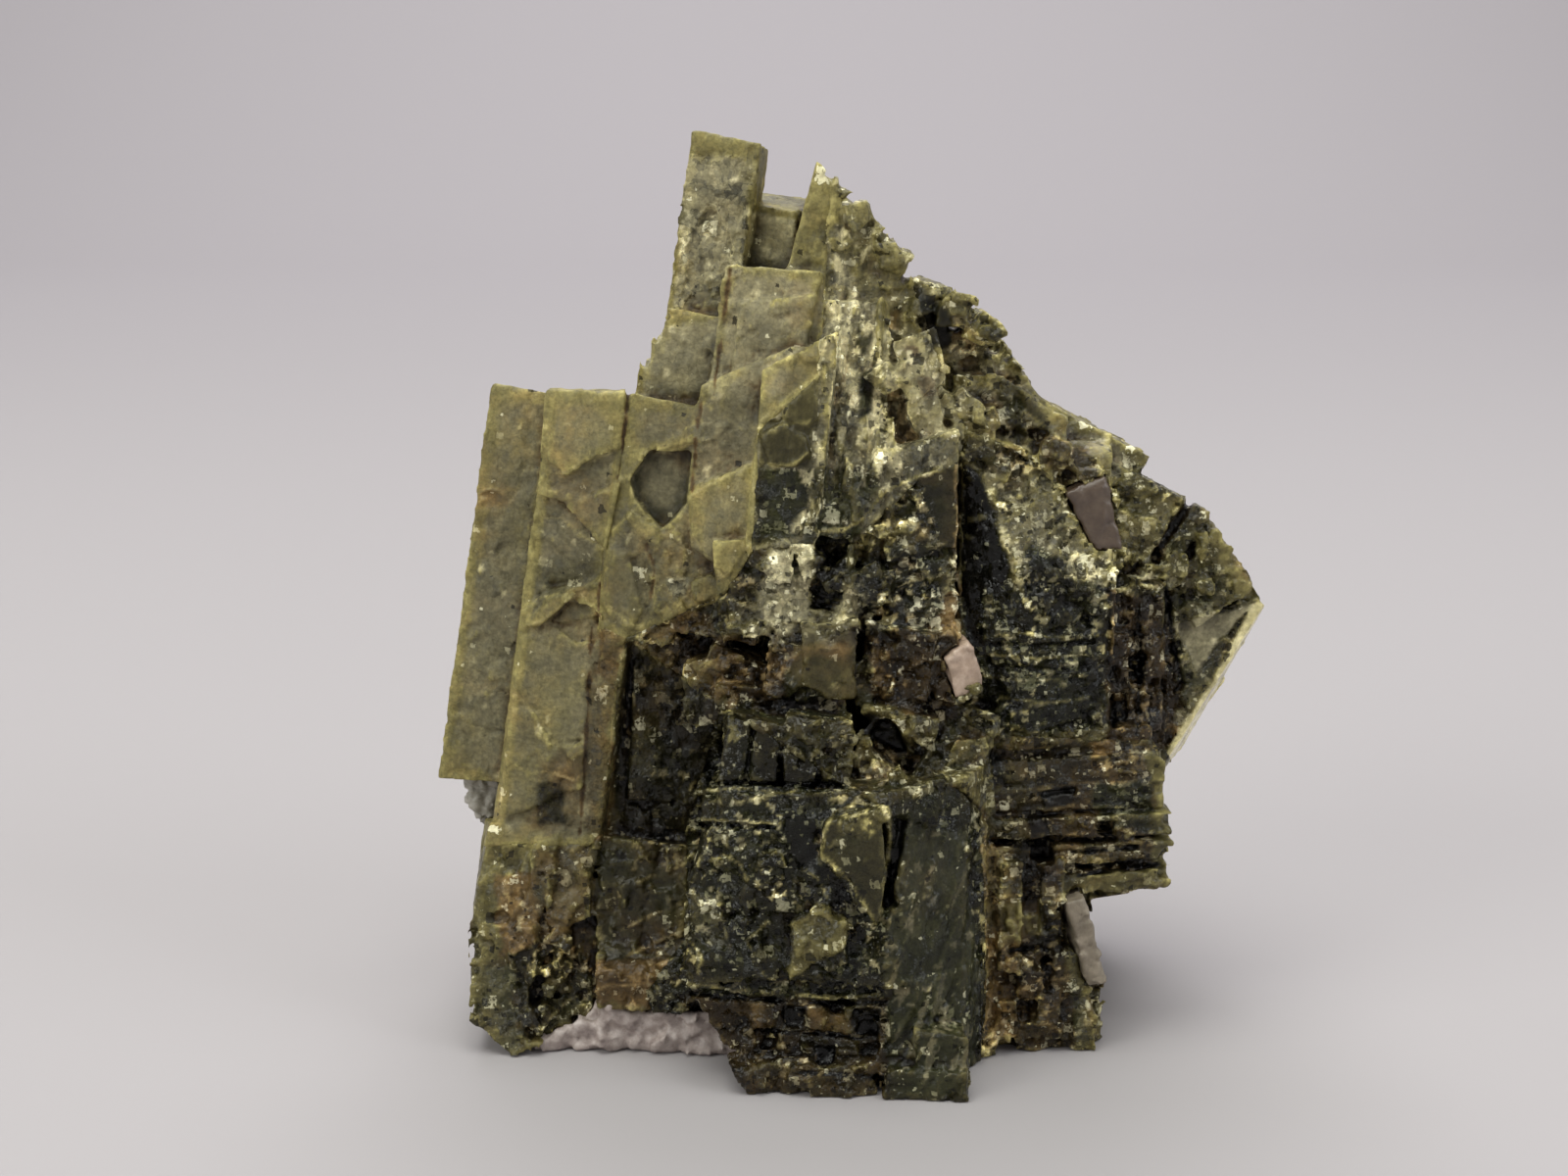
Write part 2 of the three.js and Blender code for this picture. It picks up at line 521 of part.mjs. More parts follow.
const withLayers = crystals.filter((c) => c.layers);
const raisedLayers = withLayers.flatMap((c) => (
  c.layers.filter(([height]) => height > 0).map(([height, outline]) => layerOn(c, outline, 0.6, height))
));
const missingLayers = withLayers.flatMap((c) => (
  c.layers.filter(([height]) => height < 0).map(([height, outline]) => layerOn(c, outline, -height, 2))
));

// Grains of calcite that sit in pockets of the cluster, flush with its face.
const grains = {
  calcite_grain: {
    at: [14.2, -8.8, 34.9], size: [4, 3, 4.8], turn: 4,
    cuts: [
      [[14.6, -8.8, 38.4], [-0.37, 0, 0.93]],
      [[14.6, -8.8, 38.4], [-0.88, 0, -0.48]],
      [[16.9, -8.8, 39.3], [0.97, 0, 0.23]],
    ],
  },
  calcite_chip: { at: [7.2, -12.2, 25.8], size: [1.6, 2.6, 2.5], turn: 8, lean: -18, top: [0.4, 0] },
  calcite_strip: { at: [16.5, -11.3, 5.2], size: [1, 3, 6], turn: 6, lean: -15 },
};

const floor = solidOf(facesOf({ at: [-60, -60, -20], size: [120, 120, 20] }));
const grown = joined([...crystals.map((c) => solidOf(facesOf(c))), ...raisedLayers]);
const emptied = hollows.map((c) => solidOf(facesOf(c)));
const broken = grown.subtract(joined([...missingLayers, ...emptied, ...chips()]));
const pockets = joined(Object.values(grains).map((c) => solidOf(facesOf(c), CALCITE_GAP)));
const cluster = largest(broken.add(joined(crumbs())).subtract(pockets).subtract(floor));

// Calcite fills what the crystals leave free, so it is cut by them with a little clearance.
const crystalSpace = joined(crystals.map((c) => solidOf(facesOf(c), CALCITE_GAP)));
function calcite(...lumps) {
  return joined(lumps.map((c) => solidOf(facesOf(c)))).subtract(crystalSpace).subtract(floor);
}
const calciteBase = calcite(
  { at: [-23.4, -10.4, -1], size: [17, 16, 7.5], turn: -3, lean: 3 },
  {
    at: [-14, 3, -1], size: [16.5, 15.5, 10], turn: 5, top: [-2, -3],
    cuts: [
      [[-6, 16.8, 3], [0.1, 0.9, 0.4]],
      [[0.6, 13, 5], [0.7, 0.5, 0.5]],
      [[-12.6, 13, 4], [-0.8, 0.5, 0.3]],
    ],
  },
  {
    at: [-10.5, 4, 3], size: [9, 11.4, 11], turn: -14, lean: 12, top: [2, -5],
    cuts: [[[-6, 15.6, 6], [-0.3, 0.9, 0.5]]],
  },
);
const calciteLeft = calcite({
  at: [-26.4, -3.4, 12.8], size: [5, 8, 6],
  cuts: [[[-26.5, -3, 17], [-0.94, 0, -0.34]], [[-26, 3.4, 15], [-0.5, 0.8, 0.1]]],
});

const group = new THREE.Group();
function addNode(name, solid, colour) {
  const { vertProperties, triVerts } = solid.getMesh();
  const geometry = new THREE.BufferGeometry()
    .setAttribute("position", new THREE.BufferAttribute(vertProperties, 3))
    .setIndex(new THREE.BufferAttribute(triVerts, 1));
  const material = new THREE.MeshStandardMaterial({ color: colour, roughness: 0.5, metalness: 0 });
  const mesh = new THREE.Mesh(geometry, material);
  mesh.name = name;
  group.add(mesh);
}
addNode("diopside_cluster", cluster, 0x5d6440);
addNode("calcite_base", calciteBase, 0xcfc6cc);
addNode("calcite_left", calciteLeft, 0xb9bcb8);
for (const [name, grain] of Object.entries(grains)) addNode(name, solidOf(facesOf(grain)), 0xa08e94);

export default group;
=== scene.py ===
import math
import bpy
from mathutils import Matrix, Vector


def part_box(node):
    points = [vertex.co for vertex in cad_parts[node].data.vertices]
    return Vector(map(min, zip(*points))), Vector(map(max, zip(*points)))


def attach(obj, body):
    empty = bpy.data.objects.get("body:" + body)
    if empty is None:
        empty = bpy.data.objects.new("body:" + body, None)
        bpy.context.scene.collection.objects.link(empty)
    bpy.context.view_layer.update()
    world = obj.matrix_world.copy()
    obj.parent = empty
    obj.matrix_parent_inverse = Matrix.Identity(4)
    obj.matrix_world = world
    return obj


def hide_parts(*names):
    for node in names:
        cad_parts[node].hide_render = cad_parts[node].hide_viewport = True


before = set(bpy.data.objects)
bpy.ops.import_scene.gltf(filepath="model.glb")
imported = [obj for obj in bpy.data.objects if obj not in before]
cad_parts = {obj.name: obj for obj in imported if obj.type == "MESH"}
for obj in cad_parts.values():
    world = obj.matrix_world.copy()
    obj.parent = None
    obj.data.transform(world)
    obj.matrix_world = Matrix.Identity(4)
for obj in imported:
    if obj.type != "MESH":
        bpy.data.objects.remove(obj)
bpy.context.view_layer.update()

from types import SimpleNamespace

import bpy
import mathutils
import numpy as np
import openvdb


# The setting
# The specimen stands on a pale floor that sweeps up behind it, as in a small photo box. It was
# photographed from in front and a little above, with soft light from over it and from both sides.

EYE = np.array([-4.2, -144.6, 61.0], np.float32)  # mm, where the photograph was taken from
LOOKS_DOWN = math.radians(12)
PIXELS_ACROSS = 1600
LENS = 48  # mm, on a 36 mm wide sensor
FLOOR_ALBEDO = "#a7a3a4"


def linear(code):
    """An sRGB hex colour as linear light: each channel divided by 12.92 where dark, else raised to 2.4."""
    parts = np.array([int(code[k:k + 2], 16) for k in (1, 3, 5)]) / 255
    light = np.where(parts <= 0.04045, parts / 12.92, ((parts + 0.055) / 1.055) ** 2.4)
    return (*light.tolist(), 1.0)


def add(tree, kind, inputs={}, **settings):
    """Add a node of a kind, set its settings, and set or link its inputs by name or number."""
    made = tree.nodes.new(kind)
    for name, value in settings.items():
        setattr(made, name, value)
    for name, value in inputs.items():
        if isinstance(value, bpy.types.NodeSocket):
            tree.links.new(value, made.inputs[name])
        else:
            made.inputs[name].default_value = value
    return made


def mesh_of(name, points, corner_lists):
    """A mesh from points in millimetres and arrays of triangles or quads, put in with foreach_set."""
    mesh = bpy.data.meshes.new(name)
    mesh.vertices.add(len(points))
    mesh.vertices.foreach_set("co", (points.astype(np.float32) / 1000).ravel())
    corners = np.concatenate([c.ravel() for c in corner_lists]).astype(np.int32)
    sizes = np.concatenate([np.full(len(c), c.shape[1]) for c in corner_lists]).astype(np.int32)
    mesh.loops.add(len(corners))
    mesh.loops.foreach_set("vertex_index", corners)
    mesh.polygons.add(len(sizes))
    mesh.polygons.foreach_set("loop_start", np.cumsum(sizes) - sizes)
    mesh.polygons.foreach_set("loop_total", sizes)
    mesh.update(calc_edges=True)
    mesh.shade_smooth()
    return mesh


def sweep():
    """Floor and backdrop in one: a line along y that is flat, then rises on a quarter circle of
    600 mm radius, then goes straight up, carried across in x."""
    bend = np.linspace(0, math.pi / 2, 24)
    along = np.concatenate([[-1800], 900 + 600 * np.sin(bend), [1500]])
    up = np.concatenate([[0], 600 - 600 * np.cos(bend), [2400]])
    across = np.array([-2400.0, 2400.0])
    x, row = np.meshgrid(across, np.arange(len(along)))
    points = np.stack([x, along[row], up[row]], -1).reshape(-1, 3)
    first = np.arange(0, 2 * len(along) - 2, 2)
    quads = np.stack([first, first + 1, first + 3, first + 2], -1)
    thing = bpy.data.objects.new("backdrop", mesh_of("backdrop", points, [quads]))
    bpy.context.scene.collection.objects.link(thing)
    material = bpy.data.materials.new("matt backdrop paper")
    material.use_nodes = True
    shader = material.node_tree.nodes["Principled BSDF"]
    shader.inputs["Base Color"].default_value = linear(FLOOR_ALBEDO)
    shader.inputs["Roughness"].default_value = 0.9
    shader.inputs["Specular IOR Level"].default_value = 0.2
    thing.data.materials.append(material)


def soft_light(name, place, target, width, watts, tint):
    """A square area light, `place` and `target` in metres, turned so that it faces its target."""
    data = bpy.data.lights.new(name, "AREA")
    data.size = width
    data.energy = watts
    data.color = linear(tint)[:3]
    lamp = bpy.data.objects.new(name, data)
    lamp.location = place
    aim = np.array(target, float) - np.array(place, float)
    lamp.rotation_euler = (
        math.atan2(math.hypot(aim[0], aim[1]), -aim[2]), 0, math.atan2(aim[1], aim[0]) - math.pi / 2)
    bpy.context.scene.collection.objects.link(lamp)


sweep()
soft_light("light overhead", (-0.03, -0.12, 0.60), (0, 0, 0.03), 0.45, 2.7, "#fdfff8")
soft_light("light left", (-0.55, -0.38, 0.34), (0, 0, 0.03), 0.35, 1.83, "#fdfff8")
soft_light("light right", (0.60, -0.25, 0.34), (0, 0, 0.03), 0.35, 1.6, "#f8fcff")
soft_light("light on the backdrop", (0, 1.0, 1.2), (0, 1.0, 0), 1.2, 18.0, "#fbfbff")
world = bpy.data.worlds.new("photo box")
world.use_nodes = True
world.node_tree.nodes["Background"].inputs["Color"].default_value = linear("#f4f0f0")
world.node_tree.nodes["Background"].inputs["Strength"].default_value = 0.45
bpy.context.scene.world = world
bpy.context.scene.view_settings.view_transform = "Standard"  # plain colours, as the photograph's

camera = bpy.data.objects.new("camera", bpy.data.cameras.new("camera"))
camera.data.lens = LENS
camera.data.sensor_width = 36
camera.data.clip_start = 0.01
camera.data.clip_end = 20
camera.location = (EYE / 1000).tolist()
camera.rotation_euler = (math.pi / 2 - LOOKS_DOWN, 0, 0)
bpy.context.scene.collection.objects.link(camera)
bpy.context.scene.camera = camera


# The broken stone
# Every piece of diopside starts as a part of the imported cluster, taken as distances to its surface
# on a grid. Its relief is broken into that grid along the crystal's own cleavage, as in the real
# stone, and the surface is then drawn off the grid. All lengths are in millimetres.

FINE = 0.19  # grid spacing where the photograph looks
COARSE = 0.30  # grid spacing at the back
REACH = 6  # grid steps on each side of the surface that hold a true distance
MIDDLE = 7.0  # y, where the back pieces start
SEAM = 0.12  # how far two neighbouring pieces run into each other
PIXELS_PER_MM = 15.2  # of the photograph, at the specimen

dice = np.random.default_rng(11)
LATTICE = (dice.random(64 ** 3, dtype=np.float32) * 2 - 1)
levels = {}


def wander(points, size, seed=0):
    """Smooth random values from -1 to 1 that change over `size`: random numbers on a cubic lattice,
    and at each place a smooth mix of the eight around it."""
    place = points / np.float32(size) + np.float32(seed * 7.31)
    low = np.floor(place)
    part = (place - low).astype(np.float32)
    part = part * part * (3 - 2 * part)
    low = low.astype(np.int32) & 63
    high = (low + 1) & 63
    x, y, z = part[:, 0], part[:, 1], part[:, 2]
    mixed = []
    for j in (low[:, 1] << 6, high[:, 1] << 6):
        for k in (low[:, 2], high[:, 2]):
            one = LATTICE[(low[:, 0] << 12) + j + k]
            mixed.append(one + x * (LATTICE[(high[:, 0] << 12) + j + k] - one))
    front = mixed[0] + z * (mixed[1] - mixed[0])
    back = mixed[2] + z * (mixed[3] - mixed[2])
    return front + y * (back - front)


def chance(seed, *cells):
    """A fixed random number from 0 to 1 for each cell: its whole-number places multiplied by large
    primes and their bits mixed."""
    mixed = np.full(cells[0].shape, seed * 40503 % 65521, np.uint32) * np.uint32(2654435761)
    for cell, prime in zip(cells, (73856093, 19349663, 83492791)):
        mixed ^= cell.astype(np.int32).view(np.uint32) * np.uint32(prime)
    mixed ^= mixed >> 15
    mixed *= np.uint32(2246822519)
    mixed ^= mixed >> 13
    mixed *= np.uint32(3266489917)
    mixed ^= mixed >> 16
    return (mixed >> 8).astype(np.float32) / np.float32(1 << 24)


def smooth(value, low, high):
    """0 below `low`, 1 above `high`, and an S-shaped rise between them."""
    part = np.clip((value - low) / (high - low), 0, 1)
    return part * part * (3 - 2 * part)


def seen(points):
    """Where points show in the photograph, in its pixels: each point's offset from the eye, across
    and up, divided by its distance along the view."""
    away = points - EYE
    down, level = math.sin(LOOKS_DOWN), math.cos(LOOKS_DOWN)
    ahead = away[..., 1] * level - away[..., 2] * down
    rise = away[..., 1] * down + away[..., 2] * level
    scale = PIXELS_ACROSS * LENS / 36
    return 800 + scale * away[..., 0] / ahead, 600 - scale * rise / ahead


def from_line(u, v, line):
    """How far, in pixels, each place is from a line of straight stretches."""
    nearest = np.full(np.shape(u), 1e9, np.float32)
    for (x0, y0), (x1, y1) in zip(line, line[1:]):
        dx, dy = x1 - x0, y1 - y0
        along = np.clip(((u - x0) * dx + (v - y0) * dy) / (dx * dx + dy * dy), 0, 1)
        nearest = np.minimum(nearest, (u - x0 - along * dx) ** 2 + (v - y0 - along * dy) ** 2)
    return np.sqrt(nearest)


def inside(u, v, outline):
    """How far, in pixels, each place lies inside an outline of the photograph, negative outside. The
    sign comes from how many edges a level line from the place crosses."""
    closed = outline + outline[:1]
    crossed = np.zeros(np.shape(u), bool)
    for (x0, y0), (x1, y1) in zip(closed, closed[1:]):
        if y0 != y1:
            crossed ^= ((y0 > v) != (y1 > v)) & (u < (x1 - x0) * (v - y0) / (y1 - y0) + x0)
    return from_line(u, v, closed) * np.where(crossed, 1, -1)


def level_of(node, voxel, grow=0.0):
    """A node as distances to its surface, negative inside, on a grid of `voxel` spacing, with the
    grid's lowest corner. The node's loose triangles are joined first, in a copy."""
    if (node, voxel) not in levels:
        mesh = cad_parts[node].data
        corners = np.empty(len(mesh.vertices) * 3, np.float32)
        mesh.vertices.foreach_get("co", corners)
        corners = corners.reshape(-1, 3) * 1000
        order = np.empty(len(mesh.loops), np.int32)
        mesh.loops.foreach_get("vertex_index", order)
        _, first, merged = np.unique(np.round(corners, 3), axis=0, return_index=True, return_inverse=True)
        places = openvdb.createLinearTransform(voxelSize=voxel)
        grid = openvdb.FloatGrid.createLevelSetFromPolygons(
            corners[first], triangles=merged.reshape(-1)[order].reshape(-1, 3).astype(np.uint32),
            transform=places, halfWidth=REACH)
        low, high = (np.array(c) for c in grid.evalActiveVoxelBoundingBox())
        field = np.empty(tuple(high - low + 1), np.float32)
        grid.copyToArray(field, ijk=low.tolist())
        levels[(node, voxel)] = (field - np.float32(grow), low)
    return levels[(node, voxel)]


def box_of(outline, near, far, margin):
    """The lowest and highest corner of all that shows inside an outline of the photograph between two
    depths: the rays through its corners are followed to both, and a margin is added."""
    scale = PIXELS_ACROSS * LENS / 36
    side = np.array(outline, np.float32)
    rays = np.stack([
        (side[:, 0] - 800) / scale,
        math.cos(LOOKS_DOWN) + (600 - side[:, 1]) / scale * math.sin(LOOKS_DOWN),
        -math.sin(LOOKS_DOWN) + (600 - side[:, 1]) / scale * math.cos(LOOKS_DOWN)], -1)
    ends = np.concatenate([EYE + rays * ((y - EYE[1]) / rays[:, 1:2]) for y in (near, far)])
    return ends.min(0) - margin, ends.max(0) + margin


def rough_out(node, voxel, outline=None, near=-19.5, far=MIDDLE, grow=0.0, box=None):
    """The part of a node that shows inside an outline of the photograph, between two depths, as a
    grid of distances, with the places of the grid points that lie near the surface."""
    whole, low = level_of(node, voxel, grow)
    if outline:
        box = box_of(outline, near, far, 0.5)
    start = np.clip(np.floor(box[0] / voxel).astype(int) - low, 0, whole.shape)
    stop = np.clip(np.ceil(box[1] / voxel).astype(int) + 1 - low, 0, whole.shape)
    field = whole[start[0]:stop[0], start[1]:stop[1], start[2]:stop[2]].copy()
    axes = [((low[k] + start[k] + np.arange(field.shape[k])) * voxel).astype(np.float32) for k in range(3)]
    limit = np.maximum(near - axes[1], axes[1] - far)[None, :, None] - SEAM
    limit = np.maximum(limit, -axes[2][None, None, :])
    if outline:
        shape = np.stack(np.meshgrid(*axes, indexing="ij"), -1)
        u, v = seen(shape)
        limit = np.maximum(limit, -inside(u, v, outline) / PIXELS_PER_MM - SEAM)
        del shape, u, v
    else:
        for k in (0, 2):
            view = [1, 1, 1]
            view[k] = -1
            edge = np.maximum(box[0][k] - axes[k], axes[k] - box[1][k]).reshape(view)
            limit = np.maximum(limit, edge - SEAM)
        limit = np.broadcast_to(limit, field.shape)
    bare = voxel * REACH * 0.97
    band = np.flatnonzero((np.abs(field) < bare) & (limit < 1.0))
    places = np.stack(np.unravel_index(band, field.shape), -1)
    here = (places + low + start).astype(np.float32) * np.float32(voxel)
    depth = field.reshape(-1)[band]
    at = places + start
    top = np.array(whole.shape) - 1
    slope = []
    for k in range(3):
        ahead, behind = at.copy(), at.copy()
        ahead[:, k] = np.minimum(ahead[:, k] + 1, top[k])
        behind[:, k] = np.maximum(behind[:, k] - 1, 0)
        slope.append(whole[tuple(ahead.T)] - whole[tuple(behind.T)])
    slope = np.stack(slope, -1)
    slope /= np.maximum(np.linalg.norm(slope, axis=1, keepdims=True), 1e-6)
    on_face = here - slope * depth[:, None]
    u, v = seen(on_face)
    return SimpleNamespace(
        voxel=voxel, whole=whole, low=low, corner=low + start, field=field, limit=limit, band=band,
        here=here, depth=depth, slope=slope, on_face=on_face, u=u, v=v)


def within(thing, shape, soft=3.0, ragged=4.0, grain=0.9):
    """How much each place is inside an outline of the photograph, 0 to 1, its edge made ragged by
    smooth random values."""
    places = thing.on_face if hasattr(thing, "on_face") else thing.points
    rough = ragged * wander(places, grain, 5) if ragged else 0
    return smooth(inside(thing.u, thing.v, shape) + rough, -soft, soft)


def along_line(thing, line, half_width, ragged=1.5, grain=0.5):
    """How much each place is on a line of the photograph, 0 to 1. The line is `half_width` pixels
    to each side, wavers by `ragged` pixels, and is broken off here and there."""
    places = thing.on_face if hasattr(thing, "on_face") else thing.points
    offset = from_line(thing.u, thing.v, line) + ragged * wander(places, grain, 6)
    return smooth(-offset, -half_width - 1.2, -half_width + 0.6) * smooth(wander(places, 1.7, 7), -0.9, -0.4)


def on_front(stone):
    """One where the surface looks forwards, where the rubble lies, and less on its sides and ends,
    which are cleaner."""
    return 0.25 + 0.75 * smooth(-stone.slope[:, 1], 0.3, 0.7)


def any_of(thing, shapes, soft=3.0, ragged=4.0):
    """How much each place is inside any of some outlines of the photograph."""
    part = np.zeros(len(thing.u), np.float32)
    for shape in shapes:
        part = np.maximum(part, within(thing, shape, soft, ragged))
    return part


def bare_depth(stone, points):
    """The unbroken stone's depth at the grid point nearest to each point."""
    at = np.rint(points / stone.voxel).astype(np.int32) - stone.low
    at = np.clip(at, 0, np.array(stone.whole.shape) - 1)
    return stone.whole[at[:, 0], at[:, 1], at[:, 2]]


def directions(lean, turn, tip=0):
    """Three unit directions of a crystal, as rows: across it, along its length and out of its front.
    The length leans to the right by `lean` degrees, then all is turned about the upright by `turn`
    and tipped back by `tip`."""
    a, b, c = (math.radians(x) for x in (lean, turn, tip))
    across = np.array([math.cos(a), 0, -math.sin(a)])
    length = np.array([math.sin(a), 0, math.cos(a)])
    front = np.array([0.0, -1.0, 0.0])
    tipping = np.array([[1, 0, 0], [0, math.cos(c), math.sin(c)], [0, -math.sin(c), math.cos(c)]])
    turning = np.array([[math.cos(b), -math.sin(b), 0], [math.sin(b), math.cos(b), 0], [0, 0, 1]])
    return (np.stack([across, length, front]) @ (turning @ tipping).T).astype(np.float32)


def block_at(steps, seed):
    """The block that each place is in, and its place measured in blocks. Layers are cut along the
    third direction; the rows in each layer, and the blocks in each row, slide by a random amount."""
    layer = np.floor(steps[2])
    second = steps[1] + chance(seed, layer)
    row = np.floor(second)
    first = steps[0] + chance(seed + 1, row, layer)
    return (np.floor(first), row, layer), (first, second, steps[2])


def break_up(stone, axes, sizes, loose, deep, proud, seed, mask=1.0, keep=0.6, bend=0.3, bend_size=1.0):
    """Break the surface along cleavage. Space is cut into blocks of the given sizes along a crystal's
    three directions. A block is there where the stone's depth at its middle plus a random amount is
    below zero. The new depth is the distance to the nearest face between a block that is there and
    one that is not, but at most `deep` below the old surface and `proud` above it."""
    part = np.broadcast_to(np.asarray(mask, np.float32), len(stone.band))
    use = np.flatnonzero(part > 0.02)
    if not len(use):
        return
    points = stone.here[use]
    sizes = np.array(sizes, np.float32)
    points = points + bend * np.stack([wander(points, bend_size, seed + k) for k in (1, 2, 3)], -1)
    steps = list((points @ axes.T / sizes).T)

    def there(cell):
        middle_row = cell[1] + 0.5 - chance(seed, cell[2])
        middle = cell[0] + 0.5 - chance(seed + 1, cell[1], cell[2])
        place = np.stack([middle, middle_row, cell[2] + 0.5], -1) * sizes
        return bare_depth(stone, place @ axes) + loose * (chance(seed + 2, *cell) - keep) < 0

    cell, at = block_at(steps, seed)
    own = there(cell)
    nearest = np.full(len(use), 2.0, np.float32)
    for k in range(3):
        part_way = at[k] - cell[k]
        for side, gap in ((1, 1 - part_way), (-1, part_way)):
            moved = list(steps)
            moved[k] = moved[k] + side * (gap + 0.002)
            differs = there(block_at(moved, seed)[0]) != own
            nearest = np.where(differs, np.minimum(nearest, gap * sizes[k]), nearest)
    broken = np.where(own, -nearest, nearest)
    old = stone.depth[use]
    stone.depth[use] = np.minimum(np.maximum(broken, old - proud * part[use]), old + deep * part[use])


def uneven_cells(points, axes, sizes, seed, bend=0.2):
    """Cut space into uneven cells. Each block of a lattice along a crystal's directions has one
    point, put at random, and a place belongs to its nearest point. Gives the cell of each place,
    and the place's offset from the cell's point."""
    sizes = np.array(sizes, np.float32)
    place = points @ axes.T / sizes
    for k in range(3):
        place[:, k] += bend * wander(points, float(sizes.min()) * 0.7, seed + k)
    home = np.floor(place - 0.5)
    best = np.full(len(place), 9.0, np.float32)
    cells, offsets = np.zeros_like(place), np.zeros_like(place)
    for k in range(8):
        cell = home + np.array((k & 1, k >> 1 & 1, k >> 2), np.float32)
        spot = cell + 0.15 + 0.7 * np.stack([chance(seed + j, *cell.T) for j in range(3)], -1)
        offset = place - spot
        far = (offset ** 2).sum(-1)
        nearer = far < best
        best[nearer], cells[nearer], offsets[nearer] = far[nearer], cell[nearer], offset[nearer]
    return cells.T, offsets * sizes


def facet(stone, cells, steep, high, mask=1.0):
    """Small flat broken faces: in each uneven cell the surface rises by a random part of `high` and
    by a random slope, at most `steep`, times the offset from the cell's point."""
    part = np.broadcast_to(np.asarray(mask, np.float32), len(stone.band))
    use = np.flatnonzero(part > 0.02)
    where, offsets = uneven_cells(stone.on_face[use], *cells)
    seed = cells[2]
    slopes = np.stack([2 * chance(seed + j, *where) - 1 for j in (3, 4, 5)], -1)
    rise = high * (chance(seed + 6, *where) - 0.5) + steep * (offsets * slopes).sum(-1)
    stone.depth[use] -= rise * part[use]


def flake(stone, axes, size, step, count, seed, mask=1.0, drift=5.0):
    """Thin layers left on or lost from a flat face. Every uneven cell of the face is raised by a
    whole number of `step`s, taken from slow random values, so that neighbouring cells join into
    flakes with angular edges."""
    where, _ = uneven_cells(stone.on_face, axes, (size, size * 1.2, 30.0), seed, 0.12)
    slow = wander(where.T * np.float32([size, size, 0]), drift, seed)
    height = np.round((slow * 0.5 + 0.15 * (chance(seed + 2, *where) - 0.5)) * count)
    stone.depth -= height * step * mask


def gathered(points, seed):
    """Where small chips gather, 0 to 1, from slow random values."""
    return smooth(wander(points, 2.4, seed + 9), -0.5, 0.5)


def lift(stone, cells, share, height, mask=1.0):
    """Raise a share of the small uneven cells along the surface by `height`, or sink them where it
    is negative, more of them where chips gather."""
    where, _ = uneven_cells(stone.on_face, *cells)
    number = chance(cells[2] + 7, *where)
    lifted = number < share * mask * gathered(stone.on_face, cells[2])
    stone.depth -= height * lifted * (0.6 + 0.4 * chance(cells[2] + 8, *where))


def box_mean(field, reach):
    """The mean of a grid over a cube of `reach` grid steps each way, by running sums along each axis."""
    for k in range(3):
        spread = [(0, 0)] * 3
        spread[k] = (reach + 1, reach)
        total = np.cumsum(np.pad(field, spread, mode="edge"), axis=k, dtype=np.float32)
        ahead = [slice(None)] * 3
        behind = [slice(None)] * 3
        ahead[k] = slice(2 * reach + 1, None)
        behind[k] = slice(0, -2 * reach - 1)
        field = (total[tuple(ahead)] - total[tuple(behind)]) / (2 * reach + 1)
    return field


def draw_off(stone, name, merge=0.03):
    """The surface where the distance is zero, cut off at the piece's own limits, as a mesh whose
    triangles and quads face outwards. `near` and `wide` say how much stone is around each point,
    within 0.35 and 1.2 mm: half on a flat face, less on an edge, more in a hollow."""
    stone.field.reshape(-1)[stone.band] = stone.depth
    outer = stone.voxel * REACH
    field = np.clip(np.maximum(stone.field, stone.limit), -outer, outer).astype(np.float32)
    field = np.pad(field, 1, constant_values=outer)
    grid = openvdb.FloatGrid(background=float(outer))
    grid.transform = openvdb.createLinearTransform(voxelSize=stone.voxel)
    grid.copyFromArray(field, ijk=(stone.corner - 1).tolist(), tolerance=1e-6)
    points, triangles, quads = grid.convertToPolygons(isovalue=0.0, adaptivity=merge)
    triangles, quads = triangles[:, ::-1].astype(np.int32), quads[:, ::-1].astype(np.int32)
    mesh = mesh_of(name, points, [triangles, quads])
    normals = np.empty(len(points) * 3, np.float32)
    mesh.vertex_normals.foreach_get("vector", normals)
    normals = normals.reshape(-1, 3)
    full = np.clip(0.5 - field / (1.5 * stone.voxel), 0, 1)
    at = np.clip(np.rint(points / stone.voxel).astype(np.int32) - stone.corner + 1, 0, np.array(full.shape) - 1)
    near, wide = (box_mean(full, max(1, round(r / stone.voxel)))[tuple(at.T)] for r in (0.35, 1.2))
    u, v = seen(points)
    print(f"PIECE {name}: {len(triangles) + 2 * len(quads)} triangles")
    return SimpleNamespace(
        mesh=mesh, points=points, normals=normals, inner=points - 0.06 * normals, near=near, wide=wide,
        u=u, v=v, shades={})


def paint(skin, **values):
    """Start each shade of a surface with one value."""
    for label in ("tone", "olive", "brown", "cream", "shine", "chips"):
        skin.shades[label] = np.full(len(skin.points), values.get(label, 0.0), np.float32)


def tint(skin, part, values):
    """Bring some shades to new values where `part` is 1, and part of the way where it is less."""
    for label, value in values.items():
        skin.shades[label] += (value - skin.shades[label]) * part


def tint_areas(skin, areas):
    """Tint each named area: its outline in the photograph, how soft and how ragged its edge is, and
    its shades."""
    for outline, soft, ragged, values in areas.values():
        tint(skin, within(skin, outline, soft, ragged), values)


def tint_lines(skin, lines, half_width, values):
    """Tint along each named line of the photograph."""
    for line in lines.values():
        tint(skin, along_line(skin, line, half_width), values)


def cut_lines(stone, lines, half_width, deep):
    """Cut a crack along each named line of the photograph, or raise a thin rim where `deep` is
    negative."""
    for line in lines.values():
        stone.depth += deep * along_line(stone, line, half_width)


